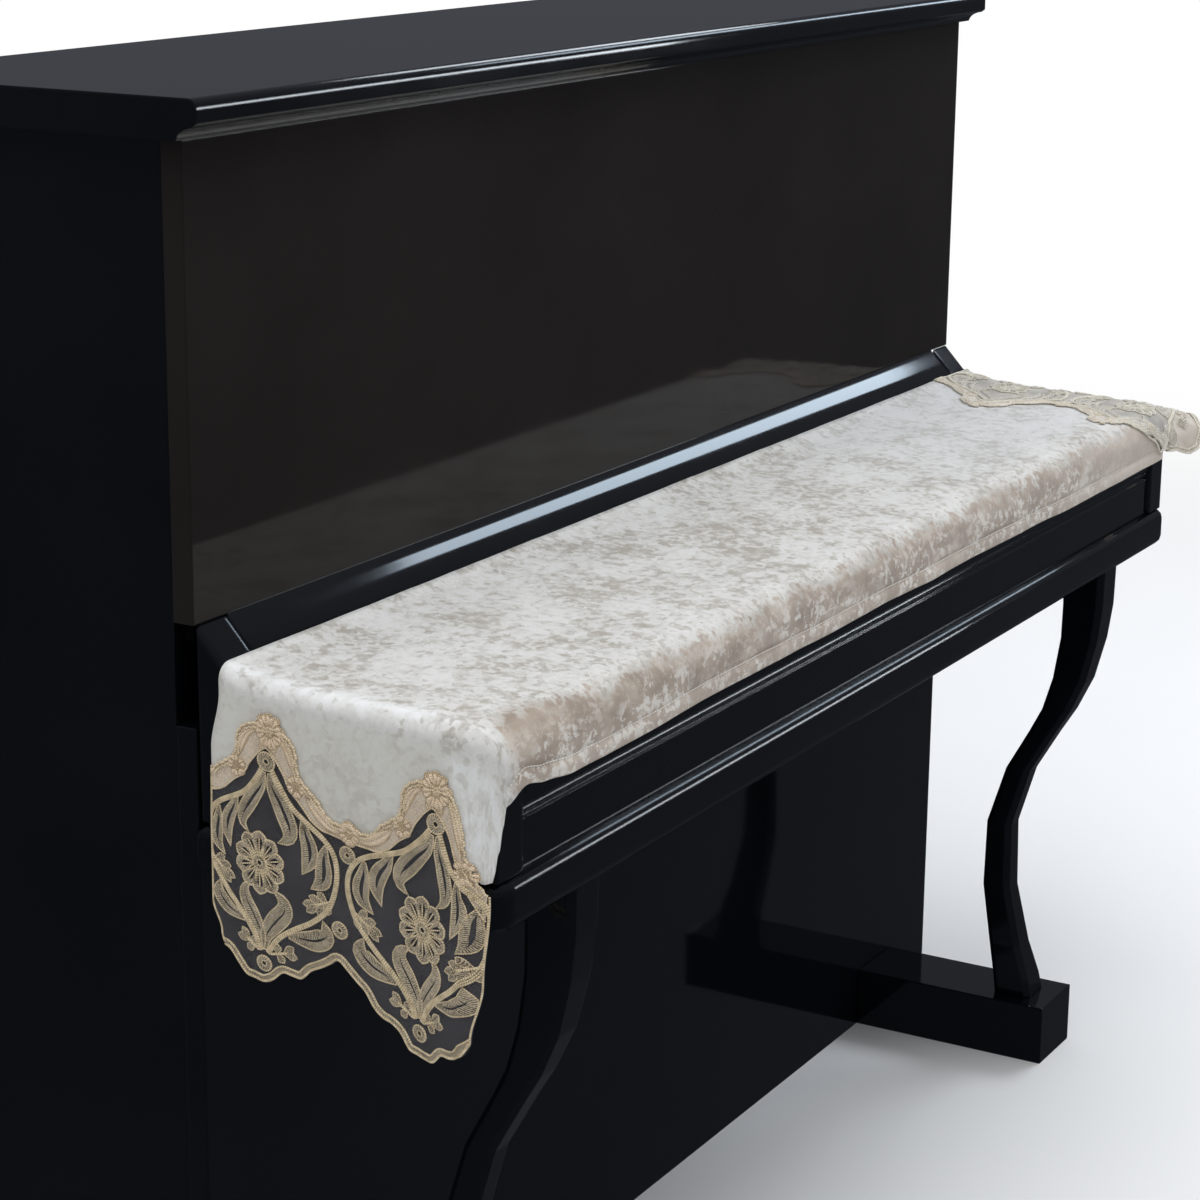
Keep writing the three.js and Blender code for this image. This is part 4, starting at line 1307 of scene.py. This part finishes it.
def moulding_shape(tree, place):
    """Normal of the sloping moulding, rounded across its width."""
    slope = Vector((0, -MOULDING_OUT, -MOULDING_RISE)).normalized()
    face = Vector((0, -MOULDING_RISE, MOULDING_OUT)).normalized()
    middle = Vector((0, CASE_FRONT - MOULDING_OUT / 2, LEDGE_HEIGHT + MOULDING_RISE / 2)) * MM
    across = vector_node(tree, "DOT_PRODUCT", {0: place, 1: slope}, "Value")
    across = math_node(tree, "SUBTRACT", across, slope.dot(middle))
    turn = weighted(tree, (across, MOULDING_ROUND), (1.0, MOULDING_TURN))
    lean = vector_node(tree, "SCALE", {0: slope, "Scale": turn})
    shape = vector_node(tree, "ADD", {0: lean, 1: face})
    return vector_node(tree, "NORMALIZE", {0: shape})


def black_lacquer(name, dark, light, index=1.52, rounded=False):
    """Polished black lacquer with softened edges, or rounded as the moulding is."""
    material, tree, shader = new_material(name, IOR=index)
    place = solid_place(tree)
    haze = noise_node(tree, place, 3.5, 6, 0.6)
    grain = noise_node(tree, place, 260, 3)
    tree.links.new(weighted(tree, (haze, 0.10), (grain, 0.02)), shader.inputs["Roughness"])
    tree.links.new(ramp(tree, haze, ((0.3, dark), (0.7, light))), shader.inputs["Base Color"])
    if rounded:
        shape = moulding_shape(tree, place)
    else:
        shape = node(tree, "ShaderNodeBevel", {"Radius": 0.003}, samples=6).outputs["Normal"]
    bump(tree, shader, noise_node(tree, place, 14, 2), 0.002, 0.02, shape)
    return material


def pale_floor():
    """Pale floor that fades out towards its edges."""
    material, tree, shader = new_material("pale_floor", Roughness=0.9)
    place = solid_place(tree)
    tone = noise_node(tree, place, 1.2, 3)
    pale = ramp(tree, tone, ((0.2, (0.88, 0.88, 0.88)), (0.8, (0.91, 0.91, 0.91))))
    tree.links.new(pale, shader.inputs["Base Color"])
    reach = vector_node(tree, "LENGTH", {0: place}, "Value")
    fade = ranged(tree, reach, (1.6, 5.0), (1.0, 0.0), "SMOOTHSTEP")
    tree.links.new(fade, shader.inputs["Alpha"])
    return material


# Stage

FLOOR_REACH = 6
# Camera at the photograph's place: turns in radians, and metres from the case front and the ledge
CAMERA_YAW = 1.0535
CAMERA_PITCH = 0.2629
CAMERA_ROLL = 0.01
CAMERA_PLACE = (-2.6076, -1.4299, 0.6759)
SENSOR_WIDTH = 36
# Focal length over the picture's width
CAMERA_REACH = 3019.83 / 1200
# Room by the height it is looked at, as it lights and as it is reflected
ROOM_TONES = (
    (0.30, (0.16, 0.16, 0.16)), (0.47, (0.28, 0.28, 0.28)),
    (0.56, (0.50, 0.505, 0.51)), (0.9, (0.66, 0.67, 0.69)),
)
REFLECTED_TONES = (
    (0.30, (0.045, 0.05, 0.06)), (0.48, (0.06, 0.065, 0.075)),
    (0.56, (0.09, 0.095, 0.11)), (0.9, (0.14, 0.15, 0.175)),
)
COOL_LIGHT = (0.86, 0.93, 1)


def make_floor():
    corners = [(x * FLOOR_REACH, y * FLOOR_REACH, 0) for x, y in ((-1, -1), (1, -1), (1, 1), (-1, 1))]
    floor = mesh_piece("floor", corners, faces=[(0, 1, 2, 3)])
    floor.data.materials.append(pale_floor())
    floor.visible_glossy = False


def make_camera():
    level = Vector((math.cos(CAMERA_YAW), -math.sin(CAMERA_YAW), 0))
    ahead = Vector((math.sin(CAMERA_YAW), math.cos(CAMERA_YAW), 0)) * math.cos(CAMERA_PITCH)
    ahead.z = -math.sin(CAMERA_PITCH)
    above = level.cross(ahead)
    right = math.cos(CAMERA_ROLL) * level + math.sin(CAMERA_ROLL) * above
    up = math.cos(CAMERA_ROLL) * above - math.sin(CAMERA_ROLL) * level
    lens = bpy.data.cameras.new("camera")
    lens.sensor_width = SENSOR_WIDTH
    lens.lens = SENSOR_WIDTH * CAMERA_REACH
    lens.clip_end = 200
    camera = add("camera", lens)
    place = Vector(CAMERA_PLACE) + Vector((0, CASE_FRONT, LEDGE_HEIGHT)) * MM
    camera.matrix_world = Matrix.Translation(place) @ Matrix((right, up, -ahead)).transposed().to_4x4()
    bpy.context.scene.camera = camera


def area_light(name, place, aim, size, power, colour=(1, 1, 1), along_line=(0, 0, 1),
               lights=True, reflected=False):
    """Light of (width, length) with its length along a line, for things, for reflections or for both."""
    lamp = bpy.data.lights.new(name, "AREA")
    lamp.shape = "RECTANGLE"
    lamp.size, lamp.size_y = size
    lamp.energy = power
    lamp.color = colour
    light = add(name, lamp)
    back = (Vector(place) - Vector(aim)).normalized()
    across = Vector(along_line).cross(back).normalized()
    turn = Matrix((across, back.cross(across), back)).transposed().to_4x4()
    light.matrix_world = Matrix.Translation(Vector(place)) @ turn
    light.visible_diffuse, light.visible_glossy = lights, reflected


def make_room():
    """Plain room that is white to the camera and darker in reflections."""
    world = bpy.data.worlds.new("studio")
    bpy.context.scene.world = world
    world.use_nodes = True
    tree = world.node_tree
    place = node(tree, "ShaderNodeTexCoord").outputs["Generated"]
    height = node(tree, "ShaderNodeSeparateXYZ", {"Vector": place}).outputs["Z"]
    share = weighted(tree, (height, 0.5), (1.0, 0.5))
    path = node(tree, "ShaderNodeLightPath").outputs
    room, reflected = ramp(tree, share, ROOM_TONES), ramp(tree, share, REFLECTED_TONES)
    room = colour_mix(tree, path["Is Glossy Ray"], room, reflected)
    room = colour_mix(tree, path["Is Camera Ray"], room, (1, 1, 1, 1))
    tree.links.new(room, tree.nodes["Background"].inputs["Color"])
    bpy.context.scene.view_settings.view_transform = "Standard"


def make_lights():
    """Soft overhead light, a fill and a window from the right, and two lights that are only reflected."""
    area_light("overhead", (-0.9, -0.5, 3.4), (-0.1, -0.2, 0.8), (2.6, 2.0), 52, along_line=(0, 1, 0))
    area_light("right_fill", (3.0, -0.9, 2.6), (0.1, -0.15, 0.8), (1.6, 1.2), 34, (0.88, 0.93, 1))
    area_light("window", (3.3, -0.90, 2.60), (0, -0.05, 0.8), (0.44, 1.25), 11, (0.72, 0.86, 1),
               along_line=(0, -0.43, 0.903), reflected=True)
    area_light("bead_light", (3.3, -2.55, 1.2), (-0.2, -0.32, 0.7), (1.2, 0.5), 22, COOL_LIGHT,
               lights=False, reflected=True)
    area_light("edge_light", (3.3, 0.25, 3.3), (0, -0.2, 0.7), (1.0, 0.9), 13, COOL_LIGHT,
               lights=False, reflected=True)


# Assembly

make_camera()
make_room()
make_lights()
make_floor()

CASE_BLACK = ((0.0015, 0.002, 0.003), (0.003, 0.0035, 0.005))
case_lacquer = black_lacquer("case_lacquer", *CASE_BLACK)
# Upper panel: lighter and warmer than the case, a painted reflection of the room
panel_lacquer_painted_reflection = black_lacquer("panel_lacquer_painted_reflection", (0.0145, 0.0125, 0.0118), (0.0205, 0.0178, 0.0168), index=1.2)
moulding_lacquer = black_lacquer("moulding_lacquer", *CASE_BLACK, rounded=True)
velvet = crushed_velvet()
hem_thread = twisted_cord("hem_thread", (0.70, 0.66, 0.60), (0.86, 0.83, 0.78))
hanging_net = sheer_net("hanging_net", 0.50, 0.10, (0.15, 0.142, 0.155), (0.21, 0.20, 0.215))
# Net of the right border: paler than the hanging net for painted window light on the lid, and denser as it is
# seen edgewise
lit_lying_net = sheer_net("lit_lying_net", 0.95, 0.66, (0.42, 0.395, 0.36), (0.67, 0.635, 0.585))
left_thread = {
    "leaves": satin_filling("gold_leaf", (0.09, 0.066, 0.04), (0.61, 0.513, 0.366)),
    "leaf_cords": twisted_cord("gold_cord", (0.37, 0.278, 0.15), (0.86, 0.72, 0.487)),
    "band": satin_filling("peach_band", (0.50, 0.40, 0.30), (0.80, 0.68, 0.54)),
    "band_cords": twisted_cord("peach_cord", (0.48, 0.37, 0.22), (0.86, 0.71, 0.50)),
    "flowers": satin_filling("peach_flower", (0.62, 0.46, 0.30), (0.92, 0.76, 0.57)),
    "flower_cords": twisted_cord("brown_cord", (0.32, 0.23, 0.13), (0.66, 0.51, 0.33)),
}
# Threads of the right border: the same work as the left's, in lit copies made paler for painted window light
window_lit_thread = {
    "leaves": satin_filling("lit_pale_leaf", (0.32, 0.285, 0.225), (0.76, 0.72, 0.645)),
    "leaf_cords": twisted_cord("lit_pale_cord", (0.50, 0.46, 0.36), (0.88, 0.84, 0.73)),
    "band": satin_filling("lit_pale_band", (0.58, 0.52, 0.44), (0.84, 0.79, 0.71)),
    "band_cords": twisted_cord("lit_pale_band_cord", (0.56, 0.50, 0.40), (0.88, 0.82, 0.71)),
    "flowers": satin_filling("lit_pale_flower", (0.56, 0.49, 0.39), (0.86, 0.79, 0.68)),
    "flower_cords": twisted_cord("lit_pale_flower_cord", (0.42, 0.36, 0.27), (0.78, 0.70, 0.58)),
}
node_lacquer = {"upper_panel": panel_lacquer_painted_reflection, "lid_moulding": moulding_lacquer}

CLOTH_NODES = ("velvet_panel", "lace_left", "lace_right")
for name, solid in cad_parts.items():
    if name not in CLOTH_NODES:
        solid.data.materials.clear()
        solid.data.materials.append(node_lacquer.get(name, case_lacquer))

velvet_piece = velvet_cloth(velvet)
stitches = sew_hem(hem_stitch_line(), hem_thread)
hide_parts("velvet_panel")
for piece in (velvet_piece, stitches):
    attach(piece, "root")

for border, thread, sheet, flat, area, held in (
    (LeftBorder(), left_thread, left_net(hanging_net), (0.25, 0.24), 0.0405, "hung"),
    (RightBorder(), window_lit_thread, right_net(lit_lying_net), (0.345, 0.24), 0.05, "draped"),
):
    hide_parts(border.name)
    trim = []
    for fill, cords, work in (
        ("leaves", "leaf_cords", medallion_work(border)),
        ("band", "band_cords", edge_work(border)),
        ("flowers", "flower_cords", flower_work(border)),
    ):
        trim.append(work.make_filling(f"{border.name}_{fill}", thread[fill]))
        trim.append(work.make_cords(f"{border.name}_{cords}", thread[cords]))
    for piece in (sheet, *trim):
        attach(piece, "root")
